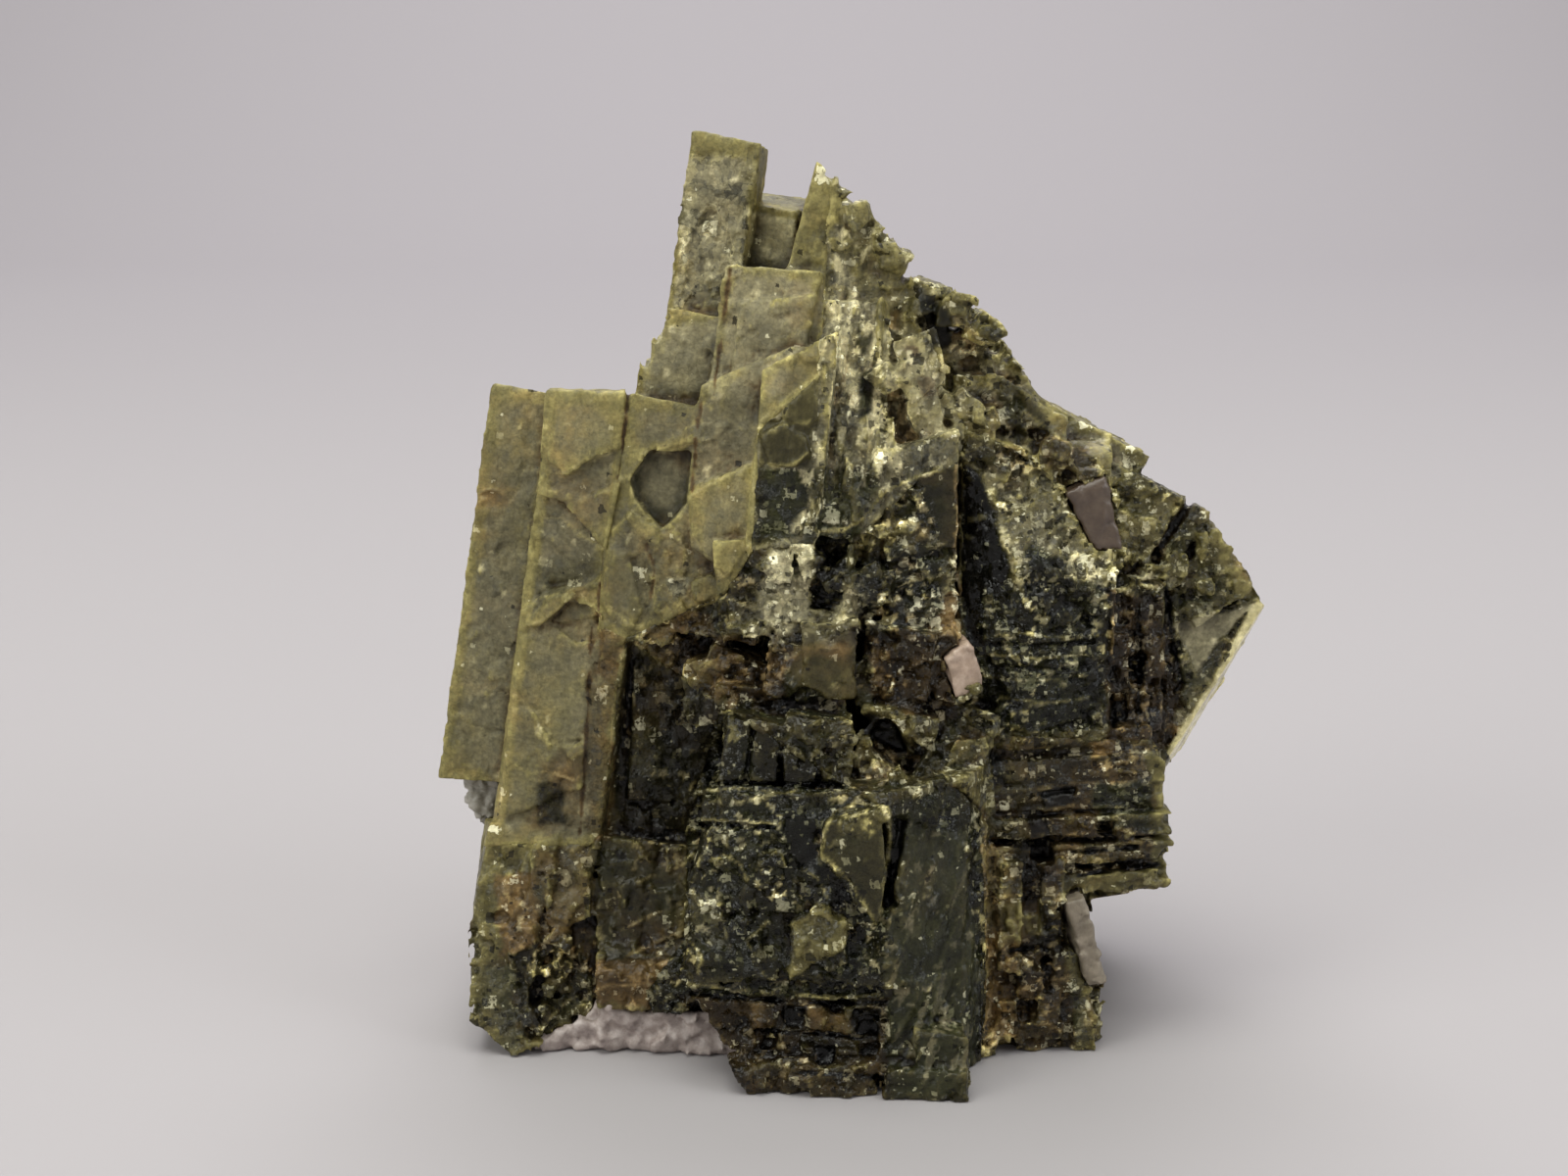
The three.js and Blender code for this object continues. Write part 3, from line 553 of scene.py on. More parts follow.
def weather(skin, faces, chips, mottle=0.10, rim=0.15, hollow=0.5, faced=0.15, pale=0.25, share=0.25):
    """Vary the painted shades: slow mottling, a tone for each broken face and pale lifted chips, as the
    real surface has them; a painted highlight, paler and more yellow, on thin and sharp edges, for the
    light that comes through and catches them; and painted shade in hollows, which also hold brown dirt."""
    shades = skin.shades
    face = 2 * chance(faces[2] + 7, *uneven_cells(skin.inner, *faces)[0]) - 1
    number = chance(chips[2] + 7, *uneven_cells(skin.inner, *chips)[0])
    chip = number < share * shades["chips"] * gathered(skin.inner, chips[2])
    # Painted light: thin and sharp edges are made lighter and more olive as a highlight, and hollows darker as shade;
    # only the brown in the hollows is dirt.
    thin = smooth(-skin.wide, -0.50, -0.34)
    crisp = smooth(-skin.near, -0.43, -0.28) * smooth(wander(skin.points, 0.9, 8), -0.5, 0.4)
    sunk = smooth(skin.wide, 0.54, 0.75)
    vary = 1 + mottle * wander(skin.points, 2.3, faces[2]) + faced * face + rim * thin - hollow * sunk
    # rim * crisp is a painted highlight on sharp edges
    shades["tone"] = shades["tone"] * vary + chip * pale * (0.6 + 2 * number / share) + rim * crisp
    shades["olive"] = shades["olive"] + 0.5 * thin + 0.4 * crisp + 0.2 * wander(skin.points, 3.1, 12)
    shades["cream"] = shades["cream"] + 0.35 * chip
    shades["brown"] = shades["brown"] + 0.55 * sunk + 0.2 * wander(skin.points, 2.7, 13) - 0.3 * crisp


def finish_piece(skin, name, node, material):
    """Put each shade on the mesh as an attribute, and the mesh in the scene in place of its node."""
    for label, values in skin.shades.items():
        layer = skin.mesh.attributes.new(label, "FLOAT", "POINT")
        layer.data.foreach_set("value", np.clip(values, 0, 1).astype(np.float32))
    skin.mesh.materials.append(material)
    piece = bpy.data.objects.new(name, skin.mesh)
    bpy.context.scene.collection.objects.link(piece)
    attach(piece, "root")
    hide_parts(node)


def math_of(tree, operation, *values):
    """One sum on values or sockets."""
    return add(tree, "ShaderNodeMath", dict(enumerate(values)), operation=operation).outputs[0]


def vector_of(tree, operation, first, second=None, scale=1.0):
    """One sum on two vectors, or one vector scaled."""
    inputs = {0: first, "Scale": scale} if second is None else {0: first, 1: second}
    return add(tree, "ShaderNodeVectorMath", inputs, operation=operation).outputs[0]


def step_of(tree, value, low, high):
    """0 where the value is below `low`, 1 above `high`, and an S-shaped rise between them."""
    return add(tree, "ShaderNodeMapRange", {
        "Value": value, "From Min": low, "From Max": high}, interpolation_type="SMOOTHSTEP").outputs[0]


def diopside(name, rough, gloss, axes, streaks, flecks):
    """Diopside, a glassy silicate, IOR about 1.68. Cleaved faces are dark and glassy, weathered ones
    satin, and fine streaks run along the crystal's length. The eye sees olive and green-black with
    brown stain and cream crusts, and small angular flecks, pale where a flake is lifted."""
    material = bpy.data.materials.new(name)
    material.use_nodes = True
    tree = material.node_tree
    shader = tree.nodes["Principled BSDF"]
    place = add(tree, "ShaderNodeTexCoord").outputs["Object"]
    shade = {label: add(tree, "ShaderNodeAttribute", attribute_name=label).outputs["Fac"]
             for label in ("tone", "olive", "brown", "cream", "shine", "chips")}

    def noise(size, detail, vector=place):
        return add(tree, "ShaderNodeTexNoise", {
            "Vector": vector, "Scale": 1000 / size, "Detail": detail, "Roughness": 0.62})

    mottle = noise(1.3, 4.0).outputs["Fac"]
    grain = noise(0.30, 3.0).outputs["Fac"]
    turn = mathutils.Matrix(axes.T.tolist()).to_euler()
    grown = add(tree, "ShaderNodeMapping", {
        "Vector": place, "Rotation": turn, "Scale": (1.0, 12.0, 1.0)}, vector_type="TEXTURE").outputs[0]
    streak = noise(0.35, 3.0, grown).outputs["Fac"]

    # Small broken faces and flecks: cells measured along the crystal's own directions, so that their
    # edges are straight, bent a little by a noise. Each cell has a tilt and a tone of its own. A few
    # are pale, lifted flakes, and fewer are dark pits.
    bent = vector_of(tree, "SUBTRACT", noise(0.5, 2.0).outputs["Color"], (0.5, 0.5, 0.5))
    bent = vector_of(tree, "ADD", place, vector_of(tree, "SCALE", bent, scale=0.0004))
    along = add(tree, "ShaderNodeMapping", {"Vector": bent, "Rotation": turn}, vector_type="TEXTURE").outputs[0]
    pale, pits, tilted, faced = 0.0, 0.0, 0.0, 0.0
    torn = step_of(tree, noise(0.45, 4.0).outputs["Fac"], 0.43, 0.46)
    for size in (1.5, 0.85, 0.42):
        cell = add(tree, "ShaderNodeTexVoronoi", {"Vector": along, "Scale": 1000 / size}, distance="CHEBYCHEV")
        number = add(tree, "ShaderNodeSeparateColor", {"Color": cell.outputs["Color"]}).outputs
        offset = vector_of(tree, "SUBTRACT", along, cell.outputs["Position"])
        slope = vector_of(tree, "SUBTRACT", cell.outputs["Color"], (0.5, 0.5, 0.5))
        height = add(tree, "ShaderNodeVectorMath", {0: offset, 1: slope}, operation="DOT_PRODUCT").outputs["Value"]
        tilted = math_of(tree, "ADD", tilted, height)
        faced = math_of(tree, "ADD", faced, math_of(tree, "ADD", number[1], -0.5))
        reach = math_of(tree, "MULTIPLY_ADD", number[1], 0.30, 0.12)
        body = step_of(tree, math_of(tree, "SUBTRACT", reach, cell.outputs["Distance"]), 0.0, 0.02)
        share = math_of(tree, "MULTIPLY", shade["chips"], step_of(tree, mottle, 0.36, 0.52))
        lit = math_of(tree, "GREATER_THAN", math_of(tree, "MULTIPLY", share, flecks), number[0])
        dim = math_of(tree, "GREATER_THAN", math_of(
            tree, "MULTIPLY_ADD", shade["chips"], flecks * 0.4, number[0]), 1.0)
        power = math_of(tree, "MULTIPLY_ADD", number[2], 0.9, 0.4)
        lit = math_of(tree, "MULTIPLY", math_of(tree, "MULTIPLY", lit, body), math_of(
            tree, "MULTIPLY", power, torn))
        pale = math_of(tree, "MAXIMUM", pale, lit)
        if size < 1:
            pits = math_of(tree, "MAXIMUM", pits, math_of(tree, "MULTIPLY", dim, body))

    dark = step_of(tree, math_of(tree, "MULTIPLY", shade["tone"], -1.0), -0.45, -0.18)
    hue = add(tree, "ShaderNodeMix", {
        "Factor": dark, 6: linear("#d5cb9c"), 7: linear("#c6cb7c")}, data_type="RGBA").outputs[2]
    stains = (("olive", "#d3c67c"), ("brown", "#cfa868"), ("cream", "#e2d9ac"))
    for label, code in stains:
        # The mottling also makes the edge of each stain patchy.
        amount = math_of(tree, "MULTIPLY_ADD", mottle, 0.7, math_of(tree, "ADD", shade[label], -0.35))
        hue = add(tree, "ShaderNodeMix", {
            "Factor": step_of(tree, amount, 0.1, 0.9), 6: hue, 7: linear(code)}, data_type="RGBA").outputs[2]
    hue = add(tree, "ShaderNodeMix", {
        "Factor": math_of(tree, "MULTIPLY", pale, 0.7), 6: hue, 7: linear("#d2cfb0")}, data_type="RGBA").outputs[2]
    varied = math_of(tree, "MULTIPLY", shade["tone"], math_of(tree, "MULTIPLY_ADD", mottle, 0.5, 0.75))
    varied = math_of(tree, "MULTIPLY", varied, math_of(tree, "MULTIPLY_ADD", grain, 0.6, 0.70))
    varied = math_of(tree, "MULTIPLY", varied, math_of(tree, "MULTIPLY_ADD", streak, streaks, 1 - streaks / 2))
    faced = math_of(tree, "MULTIPLY", faced, math_of(tree, "MULTIPLY_ADD", shade["chips"], 0.35, 0.06))
    varied = math_of(tree, "MULTIPLY", varied, math_of(tree, "ADD", faced, 1.0))
    varied = math_of(tree, "MULTIPLY_ADD", pale, 0.42, varied)
    varied = math_of(tree, "MULTIPLY", varied, math_of(tree, "MULTIPLY_ADD", pits, -0.5, 1.0))
    bright = math_of(tree, "POWER", math_of(tree, "MAXIMUM", varied, 0.02), 2.2)
    colour = vector_of(tree, "SCALE", hue, scale=bright)
    tree.links.new(colour, shader.inputs["Base Color"])
    soft = math_of(tree, "MULTIPLY_ADD", shade["shine"], gloss - rough, rough)
    soft = math_of(tree, "MULTIPLY_ADD", grain, 0.3, math_of(tree, "ADD", soft, -0.15))
    tree.links.new(soft, shader.inputs["Roughness"])
    shader.inputs["IOR"].default_value = 1.68
    shader.inputs["Specular IOR Level"].default_value = 0.18  # tiny cracks swallow much of the gloss
    tilted = math_of(tree, "MULTIPLY", tilted, math_of(tree, "MULTIPLY_ADD", shade["chips"], 0.75, 0.08))
    relief = math_of(tree, "MULTIPLY_ADD", math_of(tree, "SUBTRACT", pale, pits), 0.00005, tilted)
    relief = math_of(tree, "MULTIPLY_ADD", streak, 0.00012 * streaks, relief)
    relief = math_of(tree, "MULTIPLY_ADD", grain, 0.00003, relief)
    bump = add(tree, "ShaderNodeBump", {"Height": relief, "Distance": 1.0, "Strength": 0.9})
    tree.links.new(bump.outputs[0], shader.inputs["Normal"])
    return material


PALE = directions(8.8, -12)  # the pale blades
LEVEL = directions(-4, 8)  # the dark crystals, which cleave level and upright
CRUMBS = directions(28, 35, 20)  # the crumbly masses, which have no one direction
satin_diopside = diopside("satin weathered diopside", 0.58, 0.40, PALE, 0.16, 0.09)
glassy_diopside = diopside("glassy cleaved diopside", 0.50, 0.22, LEVEL, 0.06, 0.42)


# The pale blades on the left
# Flat, parallel crystals of pale olive diopside, side by side, their faces satin from weathering.
# Thin layers are left on or lost from their faces, and their thin edges look yellow-green where light comes through;
# that is a painted highlight.

BLADES_LEFT = [
    (430, 350), (562, 350), (650, 378), (634, 480), (617, 560), (612, 640), (640, 652), (628, 700),
    (618, 850), (600, 862), (478, 862), (420, 840)]
BLADES_RIGHT = [
    (650, 378), (560, 350), (660, 90), (760, 90), (820, 120), (848, 150), (840, 300), (835, 385),
    (775, 440), (768, 560), (735, 612), (700, 622), (640, 652), (612, 640), (617, 560), (634, 480)]
ZIGZAG = PALE.copy()  # the flakes break off askew to the blades
ZIGZAG[0] = PALE[0] * math.cos(0.6) + PALE[1] * math.sin(0.6)
ZIGZAG[1] = PALE[1] * math.cos(0.6) - PALE[0] * math.sin(0.6)
PALE_FACES = (ZIGZAG, (1.5, 1.1, 9.0), 24)
PALE_CHIPS = (PALE, (0.5, 0.6, 0.5), 33)

LEFT_PLATES = {  # height above the face, and outline
    "smooth plate": (0.22, [(568, 398), (640, 400), (634, 455), (576, 486), (558, 470)]),
    "shelf": (0.26, [(530, 641), (560, 610), (592, 603), (614, 628), (575, 634)]),
    "lower layer": (0.16, [(516, 700), (540, 715), (556, 765), (598, 750), (598, 690), (590, 640), (530, 650)]),
    "outer blade layer": (0.14, [(485, 503), (528, 500), (540, 400), (500, 392)]),
    "zigzag layer": (0.20, [(550, 500), (575, 498), (592, 508), (636, 490), (620, 562), (600, 545),
                            (578, 530), (556, 524)]),
}
LEFT_ROUGH = [
    [(552, 485), (636, 466), (622, 560), (560, 525)],
    [(545, 700), (600, 740), (600, 850), (540, 840)],
    [(600, 610), (645, 640), (625, 740), (595, 700)],
]
LEFT_RIMS = {
    "zigzag edge": [(548, 524), (562, 528), (574, 529), (590, 545), (604, 552), (619, 562)],
    "upper zigzag": [(552, 497), (565, 503), (573, 500), (585, 512), (596, 505), (612, 500), (636, 502)],
    "step": [(556, 478), (566, 484), (582, 480), (598, 470), (630, 458)],
    "step in the step": [(590, 505), (594, 512), (606, 505), (618, 502)],
    "corner flake": [(572, 437), (590, 425), (604, 407), (620, 400)],
    "shelf edge": [(531, 640), (556, 632), (576, 614), (592, 606), (604, 618), (613, 630)],
    "outer blade ledge": [(484, 505), (500, 498), (512, 502), (528, 498), (534, 480)],
    "lower flake": [(517, 702), (530, 712), (545, 728), (560, 760), (580, 752), (597, 752)],
    "lowest flake": [(524, 780), (540, 790), (560, 786), (584, 796), (596, 790)],
    "flake by the seam": [(560, 655), (575, 648), (592, 660), (604, 652)],
}
LEFT_SEAMS = {
    "between plate and next blade": [(641, 398), (637, 440), (633, 490)],
    "seam": [(618, 562), (612, 600), (611, 636)],
    "lower seam": [(604, 640), (600, 720), (596, 790), (592, 850)],
}
LEFT_AREAS = {  # outline, softness, raggedness, shades
    "outer blade, top": ([(490, 380), (560, 385), (556, 460), (490, 470)], 6, 6, {"tone": 0.60}),
    # partly the blade's own colour, partly a painted highlight for light coming through its thin edge
    "its olive edge": ([(492, 388), (505, 390), (454, 800), (442, 795)], 2, 2, {"tone": 0.56, "olive": 0.9}),
    "brown band": ([(480, 500), (530, 495), (530, 515), (480, 522)], 4, 6, {"tone": 0.57, "brown": 0.45}),
    "grey core": ([(495, 530), (528, 530), (520, 740), (488, 740)], 8, 8, {"tone": 0.50, "olive": 0.2}),
    # the chamfer too: partly its own colour, partly a painted highlight for light coming through the edge
    "chamfer": ([(562, 393), (570, 400), (556, 520), (540, 640), (524, 740), (510, 855), (500, 855),
                 (515, 740), (530, 640), (545, 520)], 3, 3, {"tone": 0.61, "olive": 1.0}),
    "plate": ([(570, 395), (640, 398), (634, 460), (575, 490), (556, 470)], 3, 3, {"tone": 0.60, "olive": 0.55}),
    "zigzags": ([(560, 500), (632, 480), (620, 560), (575, 530)], 4, 6, {"tone": 0.55, "brown": 0.35}),
    "below the zigzags": ([(556, 530), (612, 556), (610, 575), (552, 570)], 4, 5, {"tone": 0.50, "olive": 0.1}),
    "green patch": ([(546, 572), (612, 568), (610, 600), (590, 600), (575, 606), (545, 625)], 4, 5,
                    {"tone": 0.42, "olive": 0.3, "brown": 0.0, "chips": 0.4}),
    "below the shelf": ([(545, 640), (612, 640), (600, 700), (540, 720)], 4, 6, {"tone": 0.57}),
    "lower layer": ([(525, 700), (600, 690), (596, 760), (560, 768)], 4, 6, {"tone": 0.57, "olive": 0.5}),
    "lower brown": ([(548, 770), (596, 765), (590, 850), (540, 850)], 4, 8, {"tone": 0.45, "brown": 0.5}),
    "dark speckled hollow": ([(545, 800), (575, 795), (575, 838), (548, 840)], 3, 4, {"tone": 0.24, "chips": 0.9}),
    "crumbs at the seam": ([(612, 612), (650, 640), (632, 700), (604, 690)], 3, 6, {"tone": 0.42, "brown": 0.6, "chips": 0.8}),
    "brown strip": ([(600, 700), (628, 690), (622, 860), (598, 850)], 3, 6,
                    {"tone": 0.42, "brown": 0.5, "chips": 0.8}),
}


def pale_relief(stone, plates, rough):
    """Thin angular flakes over the faces, wide low swells, raised plates inside outlines of the
    photograph, rough broken places, and small chips where the crystals end."""
    flat = smooth(stone.slope @ PALE[2], 0.80, 0.93)
    smooth_plate = np.zeros(len(stone.band), np.float32)
    for height, shape in plates.values():
        inner = within(stone, shape, 1.2, 2.0, 0.6) * flat
        smooth_plate = np.maximum(smooth_plate, inner)
        stone.depth -= height * inner
    broken = any_of(stone, rough, 4.0, 8.0)
    bare = flat * (1 - 0.85 * smooth_plate)
    flake(stone, ZIGZAG, 2.1, 0.08, 5, 21, bare * (0.4 + 0.6 * broken))
    flaky = np.maximum(smooth(wander(stone.on_face, 7.0, 3), 0.2, 0.7), broken)
    flake(stone, ZIGZAG, 1.1, 0.07, 4, 22, bare * flaky)
    facet(stone, (ZIGZAG, (1.2, 0.9, 0.9), 23), 0.20, 0.10, broken * (1 - smooth_plate))
    facet(stone, PALE_FACES, 0.03, 0.03, bare)
    stone.depth -= 0.05 * wander(stone.on_face, 3.1, 5)
    facet(stone, (PALE, (0.9, 1.6, 0.9), 31), 0.06, 0.05, 1 - flat)


stone = rough_out("diopside_cluster", FINE, BLADES_LEFT)
pale_relief(stone, LEFT_PLATES, LEFT_ROUGH)
cut_lines(stone, LEFT_RIMS, 1.0, -0.05)
cut_lines(stone, LEFT_SEAMS, 0.9, 0.15)
skin = draw_off(stone, "pale_blades_left")
paint(skin, tone=0.53, olive=0.35, brown=0.22, shine=0.3, chips=0.25)
tint_areas(skin, LEFT_AREAS)
# Painted highlight: the rims are painted lighter and more olive where light catches them and comes through their thin
# edges.
tint_lines(skin, LEFT_RIMS, 1.0, {"tone": 0.66, "olive": 0.6, "cream": 0.3})
tint_lines(skin, LEFT_SEAMS, 1.1, {"tone": 0.30, "brown": 1.0, "cream": 0.0})
weather(skin, PALE_FACES, PALE_CHIPS, mottle=0.05, rim=0.10, faced=0.04, share=0.10)
finish_piece(skin, "pale_blades_left", "diopside_cluster", satin_diopside)

RIGHT_PLATES = {
    "wide plate": (0.20, [(700, 505), (768, 474), (764, 555), (742, 590), (708, 548)]),
    "dished hollow": (-0.06, [(641, 470), (655, 462), (708, 460), (700, 520), (675, 541), (650, 515)]),
    "rounded end": (0.16, [(625, 560), (642, 550), (658, 590), (648, 632), (618, 615)]),
    "wedge": (0.22, [(655, 470), (716, 448), (716, 432), (700, 436)]),
    "nodules": (0.20, [(704, 590), (712, 580), (738, 588), (736, 606), (716, 614), (704, 606)]),
    "zigzag flake": (0.15, [(640, 528), (654, 512), (668, 530), (690, 538), (672, 556), (650, 546)]),
}
RIGHT_ROUGH = [
    [(640, 555), (700, 540), (735, 600), (690, 640), (650, 630)],
    [(690, 215), (765, 215), (750, 315), (690, 320)],
    [(800, 290), (845, 290), (835, 380), (790, 370)],
    [(705, 420), (760, 440), (750, 480), (706, 490)],
]
RIGHT_RIMS = {
    "top of the hollow": [(638, 470), (652, 463), (664, 460), (690, 463), (706, 450)],
    "left of the hollow": [(626, 492), (642, 484), (646, 505), (660, 528), (674, 541)],
    "right of the hollow": [(674, 541), (690, 530), (704, 510)],
    "flake in the zigzag": [(626, 540), (640, 528), (654, 512), (668, 532), (688, 540)],
    "below it": [(660, 548), (672, 556), (664, 570), (668, 600), (664, 630)],
    "rounded end": [(616, 612), (630, 626), (650, 640), (668, 632)],
    "wedge": [(700, 438), (716, 428), (718, 448), (680, 462)],
    "plate edge": [(702, 508), (724, 494), (768, 472)],
    "plate foot": [(706, 545), (716, 560), (738, 590), (764, 556)],
    "pillar ledge": [(682, 316), (704, 312), (740, 318)],
    "top flake": [(706, 160), (722, 166), (748, 160), (772, 168)],
    "light top edge": [(745, 272), (790, 266), (838, 285)],
    "edge towards the facets": [(836, 382), (806, 402), (780, 436), (770, 470), (767, 550)],
    "ledge": [(716, 410), (736, 424), (760, 440), (776, 436)],
    "ledge above": [(740, 350), (770, 340), (800, 346), (828, 330)],
}
RIGHT_SEAMS = {
    "between the blades": [(716, 408), (710, 450), (706, 500)],
    "brown seam": [(660, 556), (668, 580), (664, 612)],
    "beside the peak": [(846, 286), (842, 330), (838, 372)],
    "pillar and next blade": [(745, 275), (738, 330), (728, 402)],
}
RIGHT_AREAS = {
    "top of the third blade": ([(640, 395), (715, 408), (700, 445), (640, 460)], 4, 6, {"tone": 0.53}),
    "dished hollow": ([(641, 468), (655, 460), (710, 458), (702, 520), (677, 543), (648, 517)], 2, 2,
                      {"tone": 0.52, "olive": 0.15, "brown": 0.0, "chips": 0.1}),
    "left of the hollow": ([(632, 480), (644, 490), (660, 530), (640, 545), (624, 530)], 3, 5, {"tone": 0.47}),
    "light rim over it": ([(636, 462), (700, 448), (718, 428), (718, 446), (660, 464), (638, 476)], 2, 3,
                          {"tone": 0.62, "olive": 0.8}),
    "wide plate": ([(700, 500), (768, 470), (766, 560), (742, 592), (706, 548)], 3, 4,
                   {"tone": 0.61, "olive": 0.5}),
    "rounded end": ([(622, 560), (642, 548), (660, 590), (650, 632), (618, 617)], 3, 4,
                    {"tone": 0.46, "olive": 0.2, "chips": 0.1}),
    "grey by the seam": ([(712, 410), (770, 440), (772, 470), (700, 500), (706, 440)], 4, 6,
                         {"tone": 0.55, "olive": 0.1}),
    "brown rough": ([(655, 560), (700, 560), (740, 590), (735, 620), (690, 640), (655, 635)], 4, 8,
                    {"tone": 0.53, "brown": 0.25, "olive": 0.4, "chips": 0.6}),
    "white specks": ([(682, 590), (702, 590), (702, 612), (684, 612)], 2, 6,
                     {"tone": 0.6, "cream": 0.7, "brown": 0.0, "chips": 1.0}),
    "nodules": ([(704, 585), (738, 586), (736, 612), (706, 612)], 3, 4, {"tone": 0.50, "olive": 0.7}),
    "rounded light top": ([(655, 340), (740, 318), (735, 400), (655, 395)], 4, 6,
                          {"tone": 0.62, "olive": 0.0, "brown": 0.0, "cream": 0.3}),
    "ledge": ([(680, 314), (742, 316), (742, 326), (680, 324)], 2, 2, {"tone": 0.62, "olive": 0.6}),
    "striped top": ([(750, 272), (840, 285), (800, 400), (725, 405)], 4, 6, {"tone": 0.66, "olive": 0.05}),
    "pillar tip": ([(700, 130), (780, 145), (775, 165), (700, 158)], 3, 4, {"tone": 0.56, "olive": 0.6}),
    "pillar": ([(700, 158), (772, 162), (760, 280), (690, 310)], 4, 6,
               {"tone": 0.65, "olive": 0.0, "cream": 0.5, "chips": 1.4}),
    "recessed blade": ([(764, 214), (815, 222), (806, 272), (760, 272)], 2, 2,
                       {"tone": 0.76, "olive": 0.0, "brown": 0.0, "cream": 0.4, "chips": 0.3}),
    "its bright top": ([(770, 203), (818, 214), (816, 225), (766, 214)], 2, 2, {"tone": 0.62, "olive": 0.9}),
    "below the peak": ([(828, 160), (850, 170), (850, 270), (806, 285), (815, 215)], 4, 6,
                       {"tone": 0.58, "olive": 0.6}),
    "pit below the peak": ([(832, 224), (862, 220), (862, 252), (836, 252)], 3, 5, {"tone": 0.42}),
}

stone = rough_out("diopside_cluster", FINE, BLADES_RIGHT)
pale_relief(stone, RIGHT_PLATES, RIGHT_ROUGH)
cut_lines(stone, RIGHT_RIMS, 1.0, -0.05)
cut_lines(stone, RIGHT_SEAMS, 0.9, 0.12)
skin = draw_off(stone, "pale_blades_right")
paint(skin, tone=0.54, olive=0.35, brown=0.2, shine=0.3, chips=0.3)
tint_areas(skin, RIGHT_AREAS)
# Painted highlight: the rims are painted lighter and more olive where light catches them and comes through their thin
# edges.
tint_lines(skin, RIGHT_RIMS, 1.0, {"tone": 0.66, "olive": 0.6, "cream": 0.3})
tint_lines(skin, RIGHT_SEAMS, 1.0, {"tone": 0.38, "brown": 1.0, "cream": 0.0})
weather(skin, PALE_FACES, PALE_CHIPS, mottle=0.06, rim=0.10, faced=0.05, share=0.10)
finish_piece(skin, "pale_blades_right", "diopside_cluster", satin_diopside)


# The fibrous ridge and the slope right of it
# Below the peak the crystal is split into bright fibres along its length, with smooth olive facets on
# their left. The slope to the right is a crumbly mass of small green blocks, with a pale prism on it.

RIDGE = [
    (848, 150), (905, 205), (930, 285), (950, 350), (985, 440), (975, 475), (940, 485), (872, 552),
    (768, 560), (775, 440), (835, 385), (840, 300)]
SLOPE = [
    (848, 150), (870, 162), (886, 186), (910, 214), (930, 250), (950, 276), (986, 295), (1015, 322),
    (1035, 352), (1058, 376), (1320, 420), (1240, 470), (1170, 470), (1135, 500), (1090, 505),
    (1040, 460), (985, 440), (950, 350), (930, 285), (905, 205)]
FIBRES = directions(4, 10)
SPLINTERS = (FIBRES, (0.50, 2.6, 0.6), 41)
FINE_SPLINTERS = (FIBRES, (0.26, 1.3, 0.35), 42)
FIBRE_CHIPS = (FIBRES, (0.40, 0.8, 0.5), 43)
SMOOTH_FACETS = [(770, 480), (768, 440), (800, 400), (834, 380), (834, 440), (826, 480)]
SPECKLED_FACET = [(770, 478), (828, 478), (820, 545), (768, 556)]
PEAK = [(840, 150), (910, 200), (930, 290), (945, 345), (915, 350), (880, 300), (845, 290)]
CREAM_CRUST = [(900, 340), (945, 340), (975, 400), (988, 450), (950, 445), (915, 400)]
BRIGHT_FIBRES = [(850, 230), (905, 260), (925, 360), (940, 450), (905, 475), (835, 470), (835, 390)]
RIDGE_RIMS = {
    "round facet": [(776, 470), (790, 476), (810, 474), (824, 462)],
    "facet above": [(776, 446), (796, 434), (826, 430)],
    "facet edge": [(800, 430), (804, 404), (834, 382)],
    "foot of the fibres": [(822, 536), (836, 542), (862, 540), (880, 530), (905, 500), (960, 476)],
}
RIDGE_AREAS = {
    "cream crust": (CREAM_CRUST, 4, 10, {"tone": 0.68, "cream": 0.5, "olive": 0.4, "chips": 0.6}),
    "upper rust": ([(922, 352), (938, 354), (940, 364), (926, 364)], 2, 4, {"tone": 0.42, "brown": 1.0}),
    "lower rust": ([(938, 386), (952, 388), (954, 402), (940, 402)], 2, 4, {"tone": 0.42, "brown": 1.0}),
    "peak": ([(848, 175), (905, 210), (935, 300), (940, 345), (905, 330), (870, 285), (850, 250)], 4, 8,
             {"tone": 0.50, "olive": 0.6, "chips": 0.6}),
    "smooth peak edge": ([(828, 190), (850, 175), (866, 215), (850, 245), (830, 230)], 4, 5,
                         {"tone": 0.62, "olive": 0.7, "chips": 0.1}),
    "pit of the peak": ([(850, 226), (862, 230), (858, 244), (846, 240)], 2, 3, {"tone": 0.38, "olive": 0.1}),
    "round facet": ([(775, 430), (828, 430), (826, 478), (776, 476)], 2, 2,
                    {"tone": 0.27, "olive": 1.0, "chips": 0.0}),
    "facet over it": ([(797, 430), (803, 405), (834, 382), (834, 438)], 2, 2,
                      {"tone": 0.35, "olive": 0.9, "chips": 0.0}),
    "foot of the fibres": ([(830, 478), (905, 478), (880, 530), (826, 536)], 4, 6,
                           {"tone": 0.30, "olive": 0.2, "chips": 1.6}),
    "speckled facet": (SPECKLED_FACET, 2, 3, {"tone": 0.20, "olive": 0.3, "chips": 1.2}),
    "dark foot": ([(822, 530), (880, 540), (860, 560), (820, 556)], 3, 5, {"tone": 0.22}),
    "green hollow": ([(874, 335), (890, 340), (886, 365), (872, 360)], 3, 4, {"tone": 0.33, "olive": 0.3}),
    "dark slot": ([(880, 380), (892, 372), (890, 420), (872, 435)], 3, 3, {"tone": 0.20}),
}

GAP_FLOOR = -4.5  # y, behind the bottom of the gaps
GAPS = {  # gaps between the crystals that broken stone closes: outline, and y of its face
    "face under the fibres": ([(868, 538), (908, 538), (908, 584), (868, 584)], -10.8),
    "black hollow": ([(824, 544), (868, 544), (868, 584), (824, 584)], -10.0),
    "under the hollow": ([(826, 584), (868, 584), (868, 626), (826, 626)], -11.2),
    "over the belt": ([(868, 606), (912, 606), (912, 642), (868, 642)], -10.9),
}


